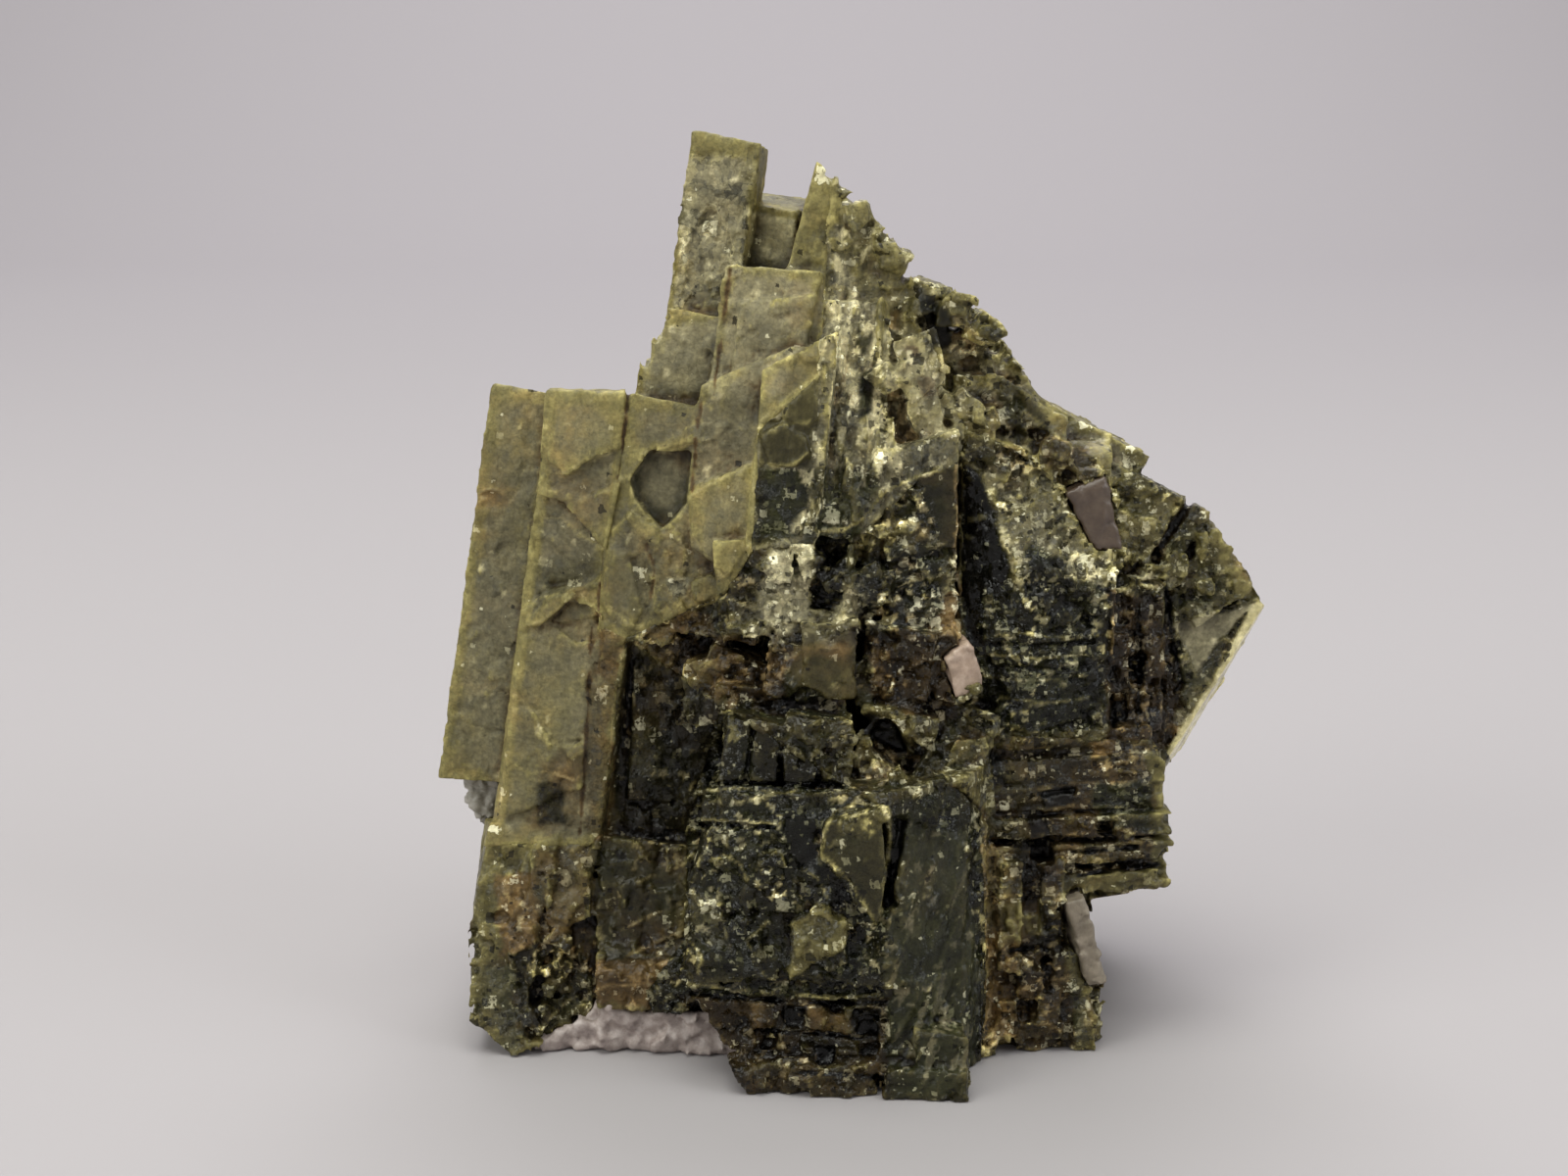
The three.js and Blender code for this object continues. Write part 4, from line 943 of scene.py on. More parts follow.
def fill_in(node, voxel, outline, face):
    """Stone added to the grid of a node, behind a plane at y = `face` and inside an outline of the
    photograph. Each grid point keeps the smaller of its distances to the node and to the filling."""
    whole, low = level_of(node, voxel)
    box = box_of(outline, face, GAP_FLOOR, voxel * REACH)
    start = np.clip(np.floor(box[0] / voxel).astype(int) - low, 0, whole.shape)
    stop = np.clip(np.ceil(box[1] / voxel).astype(int) + 1 - low, 0, whole.shape)
    axes = [np.arange(low[k] + start[k], low[k] + stop[k]) * voxel for k in range(3)]
    places = np.stack(np.meshgrid(*axes, indexing="ij"), -1).astype(np.float32)
    u, v = seen(places)
    filling = np.maximum(face - places[..., 1], places[..., 1] - GAP_FLOOR)
    filling = np.maximum(filling, -inside(u, v, outline) / PIXELS_PER_MM)
    part = whole[start[0]:stop[0], start[1]:stop[1], start[2]:stop[2]]
    np.minimum(part, filling, out=part)


for outline, face in GAPS.values():
    fill_in("diopside_cluster", FINE, outline, face)
stone = rough_out("diopside_cluster", FINE, RIDGE)
front = on_front(stone)
fibrous = front * (1 - any_of(stone, [SMOOTH_FACETS, SPECKLED_FACET], 2, 2)) * (1 - within(stone, CREAM_CRUST, 4, 10))
peak = within(stone, PEAK, 5, 8)
facet(stone, SPLINTERS, 0.12, 0.28, fibrous * (1 - peak))
facet(stone, FINE_SPLINTERS, 0.1, 0.12, fibrous * (1 - 0.6 * peak))
facet(stone, (CRUMBS, (1.5, 1.2, 1.2), 44), 0.25, 0.16, np.maximum(peak, within(stone, CREAM_CRUST)) * front)
lift(stone, FIBRE_CHIPS, 0.20, 0.12, front)
cut_lines(stone, RIDGE_RIMS, 1.2, -0.08)
skin = draw_off(stone, "fibrous_ridge")
paint(skin, tone=0.49, olive=-0.15, brown=0.05, cream=0.15, shine=0.6, chips=0.9)
splinter = chance(SPLINTERS[2] + 6, *uneven_cells(skin.inner, *SPLINTERS)[0])
thread = chance(FINE_SPLINTERS[2] + 6, *uneven_cells(skin.inner, *FINE_SPLINTERS)[0])
bright = within(skin, BRIGHT_FIBRES, 6, 10)
skin.shades["tone"] += bright * (0.46 * smooth(splinter, 0.35, 0.7) + 0.24 * smooth(thread, 0.4, 1.0) + 0.02)
skin.shades["olive"] += bright * 0.5 * (splinter < 0.3)
tint_areas(skin, RIDGE_AREAS)
# Painted highlight along the facet edges and the foot of the fibres.
tint_lines(skin, RIDGE_RIMS, 1.2, {"tone": 0.58, "olive": 0.9})
weather(skin, FINE_SPLINTERS, FIBRE_CHIPS, mottle=0.08, rim=0.10, hollow=0.15, faced=0.10)
finish_piece(skin, "fibrous_ridge", "diopside_cluster", diopside(
    "fibrous diopside", 0.52, 0.30, FIBRES, 0.5, 0.30))

PRISM = [(1040, 385), (1075, 380), (1190, 452), (1180, 492), (1112, 468), (1050, 425)]
SLOPE_HOLLOW = [(918, 284), (945, 290), (972, 330), (970, 352), (950, 356)]
SLOPE_FACES = (CRUMBS, (1.5, 1.2, 1.2), 51)
SLOPE_CHIPS = (CRUMBS, (0.6, 0.5, 0.5), 52)
SLOPE_RIMS = {
    "left of the hollow": [(922, 286), (934, 318), (948, 345), (952, 368)],
    "top of the hollow": [(924, 284), (946, 288), (962, 300), (974, 312)],
    "prism edge": [(1056, 402), (1090, 424), (1130, 446), (1170, 468)],
    "prism foot": [(1046, 420), (1080, 446), (1112, 462), (1130, 482)],
}
SLOPE_AREAS = {
    "hollow": (SLOPE_HOLLOW, 3, 5, {"tone": 0.15, "olive": 0.2, "chips": 0.2}),
    "crust": ([(940, 380), (1000, 400), (1010, 450), (985, 445)], 5, 8, {"tone": 0.52, "cream": 0.3}),
    "green edge": ([(905, 200), (950, 270), (1020, 335), (1050, 390), (1030, 380), (990, 330), (940, 285),
                    (900, 230)], 4, 5, {"tone": 0.42, "olive": 0.9, "brown": 0.0}),
    "green head": ([(930, 282), (975, 296), (985, 318), (950, 306)], 4, 4, {"tone": 0.40, "olive": 0.9}),
    "prism": (PRISM, 3, 3, {"tone": 0.54, "olive": 0.15, "chips": 0.3}),
    "prism's green end": ([(1058, 410), (1066, 404), (1115, 440), (1110, 448)], 2, 2,
                          {"tone": 0.52, "olive": 1.0}),
    "dark block": ([(1020, 380), (1050, 400), (1070, 440), (1040, 450), (1015, 420)], 3, 5, {"tone": 0.30}),
    "brown below the prism": ([(1050, 440), (1110, 460), (1120, 500), (1080, 495)], 4, 6,
                              {"tone": 0.33, "brown": 0.6}),
    "right end": ([(1170, 465), (1240, 470), (1220, 512), (1140, 500)], 4, 4,
                  {"tone": 0.56, "olive": 0.5, "chips": 0.4}),
}

stone = rough_out("diopside_cluster", FINE, SLOPE)
prism = within(stone, PRISM, 3, 3)
front = on_front(stone)
open_slope = (1 - prism) * (1 - within(stone, SLOPE_HOLLOW)) * front
break_up(stone, CRUMBS, (2.1, 1.6, 1.5), 0.8, 0.25, 0.05, 53, open_slope, 0.68, 0.5, 1.2)
facet(stone, SLOPE_FACES, 0.40, 0.32, open_slope)
facet(stone, (CRUMBS, (0.9, 0.8, 0.8), 54), 0.30, 0.14, open_slope)
facet(stone, (directions(62, 0), (0.8, 4.0, 0.8), 55), 0.1, 0.06, prism)
lift(stone, SLOPE_CHIPS, 0.20, 0.10, open_slope)
skin = draw_off(stone, "crumbly_slope")
paint(skin, tone=0.55, olive=0.25, brown=0.25, shine=0.45, chips=0.8)
tint_areas(skin, SLOPE_AREAS)
# Painted highlight along the edges of the hollow and the prism.
tint_lines(skin, SLOPE_RIMS, 1.2, {"tone": 0.52, "olive": 0.9})
weather(skin, SLOPE_FACES, SLOPE_CHIPS, mottle=0.14, rim=0.14, hollow=0.5)
finish_piece(skin, "crumbly_slope", "diopside_cluster", glassy_diopside)


# The dark middle and the right-hand crystals
# Broken, glassy green-black diopside. Its cleavage runs level and upright, so that the surface is
# made of small steps, pits and lifted chips. Cream crusts and brown stain lie in the middle.

MIDDLE_STONE = [
    (735, 612), (768, 560), (872, 552), (940, 485), (975, 475), (985, 440), (980, 600), (985, 740),
    (960, 790), (905, 825), (860, 800), (735, 720), (640, 652), (700, 622)]
RIGHT_STONE = [
    (985, 440), (1040, 460), (1090, 505), (1135, 500), (1170, 470), (1240, 470), (1330, 620), (1260, 720),
    (1200, 790), (1185, 757), (1010, 752), (985, 740), (980, 600)]
DARK_FACES = (LEVEL, (1.5, 1.0, 1.2), 61)
DARK_CHIPS = (LEVEL, (0.60, 0.42, 0.5), 62)
CREAM_PATCH = [(772, 600), (790, 558), (820, 548), (836, 560), (826, 625), (800, 645), (770, 615)]
CRUST_BELT = [(755, 612), (890, 600), (898, 650), (800, 668), (745, 640)]
SHADOWED_HOLE = [(830, 552), (858, 548), (862, 600), (850, 622), (834, 622)]
STRIPED_FACE = [(944, 455), (976, 460), (976, 560), (935, 555)]
SMOOTH_BLOCK = [(822, 650), (872, 646), (872, 716), (850, 716), (800, 690)]
LENS_HOLLOW = [(873, 732), (890, 730), (912, 740), (930, 772), (915, 768), (880, 750)]
MIDDLE_RIMS = {
    "ledge": [(905, 500), (930, 490), (962, 478)],
    "second ledge": [(880, 560), (896, 545), (930, 540), (940, 532)],
    "belt": [(745, 640), (790, 634), (860, 640), (890, 634)],
    "block top": [(790, 664), (825, 660), (868, 662)],
    "over the lens": [(874, 728), (892, 724), (914, 738), (932, 762)],
    "leaf of the middle": [(890, 650), (906, 668), (912, 700), (900, 712)],
    "branch": [(955, 640), (962, 620), (972, 606)],
}
TAN_CRUST = {
    "upper": [(976, 470), (975, 500), (978, 530), (974, 560), (977, 590)],
    "lower": [(978, 590), (975, 620), (980, 650), (986, 690)],
}
MIDDLE_AREAS = {
    "crust belt": (CRUST_BELT, 5, 10, {"tone": 0.54, "cream": 0.5, "olive": 0.5, "brown": 0.2}),
    "cream patch": (CREAM_PATCH, 4, 9, {"tone": 0.75, "cream": 0.8, "olive": 0.6, "brown": 0.0}),
    "cream below": ([(845, 600), (890, 595), (896, 625), (850, 632)], 4, 8,
                    {"tone": 0.64, "cream": 0.6, "olive": 0.3, "brown": 0.0}),
    "olive flake": ([(893, 600), (912, 606), (925, 622), (905, 640), (890, 625)], 2, 3,
                    {"tone": 0.50, "olive": 0.9, "brown": 0.5}),
    "green left of the belt": ([(740, 620), (775, 625), (780, 650), (745, 650)], 3, 5, {"tone": 0.40, "olive": 0.6}),
    # painted shade: the hollow here is closed with stone and painted near-black for the shade in it
    "black hole": (SHADOWED_HOLE, 2, 4, {"tone": 0.08, "cream": 0.0, "chips": 0.5}),
    "striped face": (STRIPED_FACE, 3, 4, {"tone": 0.20, "brown": 0.5, "chips": 0.2}),
    "dark by the fibres": ([(868, 550), (940, 500), (968, 560), (950, 650), (880, 640)], 4, 6,
                           {"tone": 0.17, "chips": 1.3}),
    "green shelf": ([(868, 560), (900, 532), (945, 530), (950, 548), (880, 572)], 3, 5,
                    {"tone": 0.38, "olive": 0.8}),
    "tan crust": ([(950, 640), (968, 606), (978, 600), (984, 660), (962, 672), (946, 660)], 3, 7,
                  {"tone": 0.56, "cream": 0.3, "brown": 1.0}),
    "smooth block": (SMOOTH_BLOCK, 3, 4, {"tone": 0.33, "brown": 0.45, "olive": 0.7, "chips": 0.1}),
    "its lit top": ([(790, 655), (865, 655), (866, 668), (800, 676)], 3, 4, {"tone": 0.46, "brown": 0.7, "olive": 0.8}),
    "left rubble": ([(640, 625), (720, 625), (760, 680), (735, 720), (650, 665)], 4, 7,
                    {"tone": 0.34, "brown": 0.6, "olive": 0.5, "chips": 0.8}),
    "middle rubble": ([(735, 650), (815, 650), (800, 710), (740, 720)], 4, 8, {"tone": 0.28, "brown": 0.9}),
    "right rubble": ([(870, 640), (975, 650), (980, 740), (900, 720)], 4, 8, {"tone": 0.20, "brown": 0.9}),
    "brown flakes": ([(885, 660), (905, 660), (912, 705), (890, 710)], 3, 4,
                     {"tone": 0.34, "brown": 0.9, "olive": 0.6}),
    "over the lens": ([(880, 715), (930, 720), (940, 760), (900, 736)], 3, 5, {"tone": 0.36, "olive": 0.6}),
    # painted shade: the lens hollow is cut in and painted near-black for the shade in it
    "lens": (LENS_HOLLOW, 2, 2, {"tone": 0.08, "olive": 0.3, "chips": 0.0}),
    "silver patch": ([(866, 762), (885, 752), (922, 772), (925, 796), (868, 796)], 3, 4,
                     {"tone": 0.46, "brown": 0.3, "chips": 1.0}),
}


def dark_relief(stone, cells, chips, rough, fine, seed):
    """Broken faces at small angles to each other, cleavage blocks lost where the stone is rough, and
    small lifted chips and pits."""
    front = on_front(stone)
    broken = np.array(cells[1]) * (1.4, 1.2, 1.0)
    break_up(stone, cells[0], broken, 1.0, 0.35, 0.03, seed, rough * front, 0.68, 0.4, 1.1)
    facet(stone, cells, 0.30, 0.25, rough * front)
    small = (cells[0], tuple(0.6 * s for s in cells[1]), seed + 1)
    facet(stone, small, 0.25, 0.12, fine * front)
    lift(stone, chips, 0.25, 0.12, front)
    lift(stone, (chips[0], chips[1], seed + 2), 0.16, -0.16, fine * front)


stone = rough_out("diopside_cluster", FINE, MIDDLE_STONE)
calm = any_of(stone, [STRIPED_FACE, SMOOTH_BLOCK, LENS_HOLLOW], 2, 3)
hole = within(stone, LENS_HOLLOW, 3, 2)
stone.depth += 0.6 * hole
crusty = any_of(stone, [CREAM_PATCH, CRUST_BELT], 4, 8)
dark_relief(stone, DARK_FACES, DARK_CHIPS, (1 - calm) * (1 - 0.7 * crusty), 1 - calm, 63)
facet(stone, (CRUMBS, (0.8, 0.8, 0.7), 66), 0.4, 0.12, crusty)
cut_lines(stone, MIDDLE_RIMS, 1.1, -0.08)
cut_lines(stone, TAN_CRUST, 1.0, -0.08)
skin = draw_off(stone, "dark_middle")
paint(skin, tone=0.24, olive=0.25, brown=0.35, shine=0.7, chips=0.8)
tint_areas(skin, MIDDLE_AREAS)
# Painted highlight along the ledges, the belt and the rims.
tint_lines(skin, MIDDLE_RIMS, 1.1, {"tone": 0.50, "olive": 0.7, "cream": 0.3})
tint_lines(skin, TAN_CRUST, 1.1, {"tone": 0.56, "cream": 0.4, "brown": 1.0})
weather(skin, DARK_FACES, DARK_CHIPS, mottle=0.16, rim=0.15, hollow=0.6)
finish_piece(skin, "dark_middle", "diopside_cluster", glassy_diopside)

SMOOTH_DARK = [(982, 475), (1000, 480), (1030, 560), (1045, 640), (1040, 690), (984, 660)]
GREY_FACET = [(1197, 636), (1280, 616), (1242, 658), (1220, 690)]
THIN_REFLECTING_FACET = [(1280, 612), (1296, 618), (1200, 785), (1186, 772), (1240, 690)]
RED_SLOT = [(1208, 514), (1220, 510), (1184, 572), (1174, 566)]
RIGHT_EDGES = {
    "edge of the smooth face": [(986, 470), (1000, 482), (1020, 520), (1034, 560), (1046, 620)],
    "cleavage": [(1006, 650), (1040, 646), (1090, 652), (1120, 648)],
    "second cleavage": [(1010, 668), (1060, 672), (1110, 668)],
    "third cleavage": [(1006, 690), (1050, 696), (1100, 690)],
    "fourth cleavage": [(1020, 712), (1070, 718), (1110, 712)],
    "over the brown columns": [(1140, 604), (1160, 596), (1184, 602)],
    "under the slot": [(1160, 590), (1178, 574), (1200, 562)],
    "grey facet": [(1197, 636), (1240, 624), (1280, 614)],
    "its foot": [(1197, 636), (1210, 662), (1222, 692)],
    "serrated edge": [(1226, 508), (1240, 530), (1250, 560), (1268, 592), (1282, 614)],
}
RIGHT_CRACKS = {
    "beside the columns": [(1134, 590), (1132, 650), (1136, 740)],
    "between the columns": [(1160, 620), (1164, 680), (1160, 750)],
    "columns and point": [(1190, 600), (1196, 650), (1206, 700)],
    "under the cleavage": [(1008, 658), (1060, 660), (1118, 656)],
    "under the second": [(1010, 680), (1060, 684), (1110, 680)],
}
RIGHT_FRONT_AREAS = {
    # dark glassy stone, painted darker still for the shade in the cleft it lies in
    "smooth dark face": (SMOOTH_DARK, 3, 4, {"tone": 0.05, "olive": 0.3, "brown": 0.0, "chips": 0.35, "shine": 1.0}),
    "green edge of it": ([(985, 468), (1002, 474), (1036, 560), (1046, 640), (1034, 600), (1006, 500)], 3, 4,
                         {"tone": 0.32, "olive": 0.7}),
    "pale cap": ([(1000, 476), (1020, 474), (1040, 520), (1030, 540), (1008, 500)], 3, 6,
                 {"tone": 0.52, "cream": 0.3}),
    "pitted upper": ([(1000, 480), (1140, 500), (1140, 600), (1035, 600)], 5, 8,
                     {"tone": 0.45, "olive": 0.4, "cream": 0.2, "brown": 0.1, "chips": 1.2}),
    "pitted lower": ([(1000, 600), (1135, 600), (1135, 745), (1000, 740)], 5, 8,
                     {"tone": 0.13, "olive": 0.3, "brown": 0.0, "chips": 1.1}),
    "black in the lower": ([(1045, 560), (1090, 570), (1080, 640), (1040, 630)], 5, 8, {"tone": 0.13}),
    "brown columns": ([(1130, 600), (1185, 610), (1205, 700), (1195, 765), (1130, 755)], 4, 7,
                      {"tone": 0.19, "brown": 0.9, "chips": 0.6}),
    "by the slot": ([(1130, 500), (1215, 510), (1170, 580), (1140, 600)], 4, 6,
                    {"tone": 0.46, "olive": 0.5, "brown": 0.2}),
    "slot": (RED_SLOT, 2, 2, {"tone": 0.12, "brown": 1.0, "chips": 0.0}),
    "point, front": ([(1180, 560), (1230, 530), (1275, 600), (1200, 640)], 4, 7,
                     {"tone": 0.34, "olive": 0.4, "brown": 0.1, "chips": 0.9}),
    # painted light: lighter and olive for light coming through the thin edge
    "translucent edge": ([(1222, 510), (1240, 512), (1285, 612), (1262, 608), (1240, 560)], 3, 4,
                         {"tone": 0.48, "olive": 1.0, "chips": 0.1}),
    "grey facet": (GREY_FACET, 2, 2, {"tone": 0.65, "olive": 0.0, "brown": 0.0, "cream": 0.6, "chips": 0.1, "shine": 1.0}),
    "under it": ([(1225, 680), (1262, 640), (1245, 690), (1205, 750), (1190, 745)], 3, 4,
                 {"tone": 0.38, "olive": 0.3}),
    # painted reflection: the thin facet is painted near-white for the bright surroundings it mirrors
    "thin bright facet": (THIN_REFLECTING_FACET, 2, 1, {"tone": 0.92, "cream": 0.6, "brown": 0.0, "chips": 0.0, "shine": 1.0}),
}

stone = rough_out("diopside_cluster", FINE, RIGHT_STONE)
calm = np.maximum(any_of(stone, [SMOOTH_DARK], 3, 4), any_of(stone, [GREY_FACET, THIN_REFLECTING_FACET], 2, 1))
slow = wander(stone.on_face, 3.5, 64)
dark_relief(stone, DARK_FACES, DARK_CHIPS, smooth(slow, -0.8, 0.2) * (1 - calm), 1 - calm, 65)
cut_lines(stone, RIGHT_EDGES, 1.0, -0.08)
cut_lines(stone, RIGHT_CRACKS, 1.4, 0.30)
cut_lines(stone, {"red slot": [(1214, 511), (1179, 570)]}, 4.0, 0.45)
skin = draw_off(stone, "right_crystals")
paint(skin, tone=0.29, olive=0.3, brown=0.3, shine=0.7, chips=0.9)
tint_areas(skin, RIGHT_FRONT_AREAS)
# Painted highlight along the edges and the cleavage lines.
tint_lines(skin, RIGHT_EDGES, 1.0, {"tone": 0.46, "olive": 0.7, "brown": 0.0})
# Painted shade: the cracks are painted near-black for the shade in them.
tint_lines(skin, RIGHT_CRACKS, 1.6, {"tone": 0.08})
weather(skin, DARK_FACES, DARK_CHIPS, mottle=0.16, rim=0.16, hollow=0.6)
finish_piece(skin, "right_crystals", "diopside_cluster", glassy_diopside)


# The front crystal and the stack beside it
# The front crystal is the biggest of the dark ones, split level by level. Its right side is finely
# grooved. The stack to its right is a pile of thin plates over a broken wall of small slabs.

FRONT_STONE = [
    (735, 720), (860, 800), (905, 825), (960, 790), (1000, 830), (1005, 1000), (1000, 1160), (700, 1160),
    (660, 1010), (700, 960), (700, 850)]
STACK_STONE = [
    (985, 740), (1010, 752), (1185, 757), (1200, 790), (1240, 800), (1240, 900), (1190, 908), (1150, 910), (1110, 916),
    (1122, 960), (1240, 960), (1240, 1150), (1000, 1160), (1005, 1000), (1000, 830), (960, 790)]
FRONT_FACES = (LEVEL, (2.3, 1.6, 1.8), 71)
FRONT_CHIPS = (LEVEL, (0.62, 0.5, 0.5), 72)
GROOVES = directions(24, 30)
GROOVE_BARS = (GROOVES, (0.45, 5.0, 0.5), 73)
GROOVED = [(918, 835), (985, 850), (1000, 1000), (995, 1120), (905, 1120), (905, 950)]
LOWER_BLOCK = [(690, 1014), (905, 1020), (905, 1130), (760, 1130)]
STEPS = [(735, 725), (862, 725), (862, 800), (735, 800)]
LEAF = [(843, 835), (856, 826), (905, 822), (912, 850), (903, 900), (902, 930), (894, 944), (880, 918),
        (868, 896), (840, 876)]
SHADOWED_SLOT = [(912, 835), (926, 838), (918, 880), (908, 920), (900, 925), (906, 880)]
FLAKES = [(808, 942), (832, 922), (850, 930), (866, 940), (860, 968), (848, 976), (822, 990), (806, 998)]
FRONT_RIMS = {
    "top of the steps": [(738, 726), (770, 722), (800, 726), (845, 722)],
    "tier below": [(722, 806), (760, 804), (800, 810), (812, 806)],
    "foot of the tier": [(716, 836), (760, 838), (796, 840)],
    "leaf, left side": [(852, 828), (840, 850), (838, 872), (856, 888), (868, 900), (880, 920), (894, 944)],
    "leaf, top": [(852, 828), (872, 820), (905, 822)],
    "leaf, right side": [(908, 826), (908, 860), (902, 900), (900, 930)],
    "flake cluster": [(806, 944), (824, 938), (834, 922), (848, 928), (868, 940), (862, 964), (848, 976)],
    "in the cluster": [(820, 958), (836, 964), (850, 972)],
    "below the cluster": [(806, 998), (812, 984), (828, 976)],
    "edge over the slit": [(702, 1004), (740, 1008), (800, 1014), (860, 1019), (898, 1014)],
    "upper left flake": [(724, 878), (740, 872), (756, 884), (762, 898)],
    "middle flake": [(776, 872), (796, 868), (802, 884)],
    "small flake": [(818, 886), (834, 896), (844, 916)],
    "corner of the block": [(704, 960), (716, 976), (712, 996)],
    "by the left edge": [(736, 930), (740, 950), (746, 966)],
    "slanting chip": [(768, 980), (780, 996), (790, 1000)],
    "long rim": [(770, 976), (762, 960), (784, 940)],
}
FRONT_CRACKS = {
    "gap under the steps": [(735, 799), (800, 800), (858, 802)],
    "gap under the tier": [(700, 841), (760, 843), (790, 844)],
    "first groove of the steps": [(770, 736), (760, 800)],
    "second groove": [(798, 734), (796, 800)],
    "third groove": [(840, 730), (834, 800)],
    "slit over the lower block": [(706, 1014), (780, 1021), (860, 1025), (905, 1023)],
    "slit near the foot": [(790, 1093), (850, 1096), (900, 1100)],
    "fine crack": [(770, 1052), (820, 1054), (880, 1060)],
}
BLOCK_HOLES = {
    "left hole": [(798, 1028), (822, 1028), (820, 1050), (800, 1050)],
    "right hole": [(868, 1028), (898, 1030), (896, 1062), (870, 1056)],
    "lower hole": [(830, 1066), (852, 1066), (850, 1084), (832, 1084)],
}
FRONT_AREAS = {
    "grooved side": (GROOVED, 3, 5, {"tone": 0.27, "brown": 0.15, "olive": 0.0, "chips": 0.35, "shine": 0.5}),
    "lower block": (LOWER_BLOCK, 3, 4, {"tone": 0.19, "brown": 0.7, "chips": 0.7}),
    "steps": (STEPS, 3, 4, {"tone": 0.13, "olive": 0.3, "brown": 0.0, "chips": 0.55, "shine": 1.0}),
    "lit strip of the steps": ([(846, 735), (858, 735), (856, 780), (846, 776)], 2, 4, {"tone": 0.42, "olive": 0.6}),
    # painted shade under the tier above
    "over the left face": ([(800, 825), (845, 828), (838, 890), (815, 890), (800, 860)], 4, 6, {"tone": 0.12}),
    "left face, upper": ([(715, 850), (800, 850), (800, 930), (715, 930)], 5, 8,
                         {"tone": 0.17, "olive": 0.4, "chips": 1.5}),
    "pale grains": ([(700, 900), (740, 920), (745, 970), (705, 960)], 4, 8,
                    {"tone": 0.34, "cream": 0.2, "chips": 2.0}),
    "leaf": (LEAF, 1.5, 2, {"tone": 0.20, "olive": 0.5, "brown": 0.0, "chips": 0.2}),
    "leaf, upper part": ([(858, 826), (906, 824), (908, 845), (880, 856), (858, 846)], 2, 4,
                         {"tone": 0.31, "olive": 0.7, "chips": 0.9}),
    # painted shadow: the slot right of the leaf is cut in and painted near-black for the leaf's shadow
    "slot": (SHADOWED_SLOT, 2, 2, {"tone": 0.06, "chips": 0.0}),
    "flake cluster": (FLAKES, 2, 5, {"tone": 0.42, "olive": 0.8, "chips": 0.4}),
    "shade by the leaf": ([(800, 835), (838, 830), (834, 878), (852, 896), (830, 905), (805, 870)], 3, 4,
                          {"tone": 0.10, "chips": 0.3}),
    # painted shade under the leaf
    "under the leaf": ([(840, 890), (866, 900), (884, 930), (865, 935), (845, 910)], 3, 4, {"tone": 0.12}),
    "brown slabs of the block": ([(825, 1030), (868, 1032), (866, 1060), (826, 1058)], 3, 4,
                                 {"tone": 0.34, "brown": 0.8, "olive": 0.6}),
    "pale slab": ([(766, 1020), (782, 1020), (778, 1064), (768, 1064)], 2, 3, {"tone": 0.34, "olive": 0.2}),
    "foot": ([(760, 1078), (900, 1085), (900, 1130), (770, 1128)], 3, 4, {"tone": 0.24, "brown": 0.6, "olive": 0.5}),
}

stone = rough_out("diopside_cluster", FINE, FRONT_STONE)
grooved = within(stone, GROOVED, 3, 5)
lower = within(stone, LOWER_BLOCK, 3, 4)
steps = within(stone, STEPS, 2, 3)
leaf = within(stone, LEAF, 1.5, 2)
plain = (1 - grooved) * (1 - lower) * (1 - steps)
slow = wander(stone.on_face, 3.5, 70)
front = on_front(stone)
facet(stone, FRONT_FACES, 0.18, 0.22, front * plain * (1 - leaf))
facet(stone, (LEVEL, (1.1, 0.8, 0.9), 74), 0.25, 0.14, smooth(slow, -0.5, 0.3) * plain * (1 - leaf))
break_up(stone, LEVEL, (1.5, 1.3, 1.1), 1.3, 0.55, 0.05, 75, lower, 0.62, 0.3, 1.3)
facet(stone, (LEVEL, (1.1, 0.9, 0.9), 76), 0.25, 0.18, lower)
facet(stone, GROOVE_BARS, 0.08, 0.16, grooved)
facet(stone, (directions(3, 0), (0.9, 5.0, 1.0), 78), 0.12, 0.22, steps)
lift(stone, FRONT_CHIPS, 0.22, 0.13, (1 - 0.7 * leaf) * front)
lift(stone, (LEVEL, (0.5, 0.5, 0.5), 79), 0.14, -0.15, plain)
stone.depth -= 0.15 * leaf + 0.25 * within(stone, FLAKES, 1.5, 3)
stone.depth += 0.6 * any_of(stone, [*BLOCK_HOLES.values(), SHADOWED_SLOT], 1.5, 2)
cut_lines(stone, FRONT_RIMS, 1.1, -0.08)
cut_lines(stone, FRONT_CRACKS, 2.0, 0.50)
skin = draw_off(stone, "front_crystal")
paint(skin, tone=0.16, olive=0.25, brown=0.15, shine=0.8, chips=1.0)
tint_areas(skin, FRONT_AREAS)
bar = chance(GROOVE_BARS[2] + 6, *uneven_cells(skin.inner, *GROOVE_BARS)[0])
skin.shades["tone"] *= 1 + within(skin, GROOVED, 3, 5) * (0.9 * smooth(bar, 0.6, 1.0) - 0.2)
# Painted highlight along the steps, the flakes and the leaf's edges, partly the leaf's own pale rim.
tint_lines(skin, FRONT_RIMS, 1.1, {"tone": 0.52, "olive": 0.8, "cream": 0.2, "brown": 0.0})
# Painted shadow: the gaps under the steps and the tier, the slits and the fine crack are painted near-black.
tint_lines(skin, FRONT_CRACKS, 1.8, {"tone": 0.06})
# Painted shade: the holes cut in the lower block are painted near-black for the shade in them.
tint(skin, any_of(skin, [*BLOCK_HOLES.values()], 2, 2), {"tone": 0.07, "chips": 0.2})
weather(skin, FRONT_FACES, FRONT_CHIPS, mottle=0.16, rim=0.15, hollow=0.6)
finish_piece(skin, "front_crystal", "diopside_cluster", glassy_diopside)

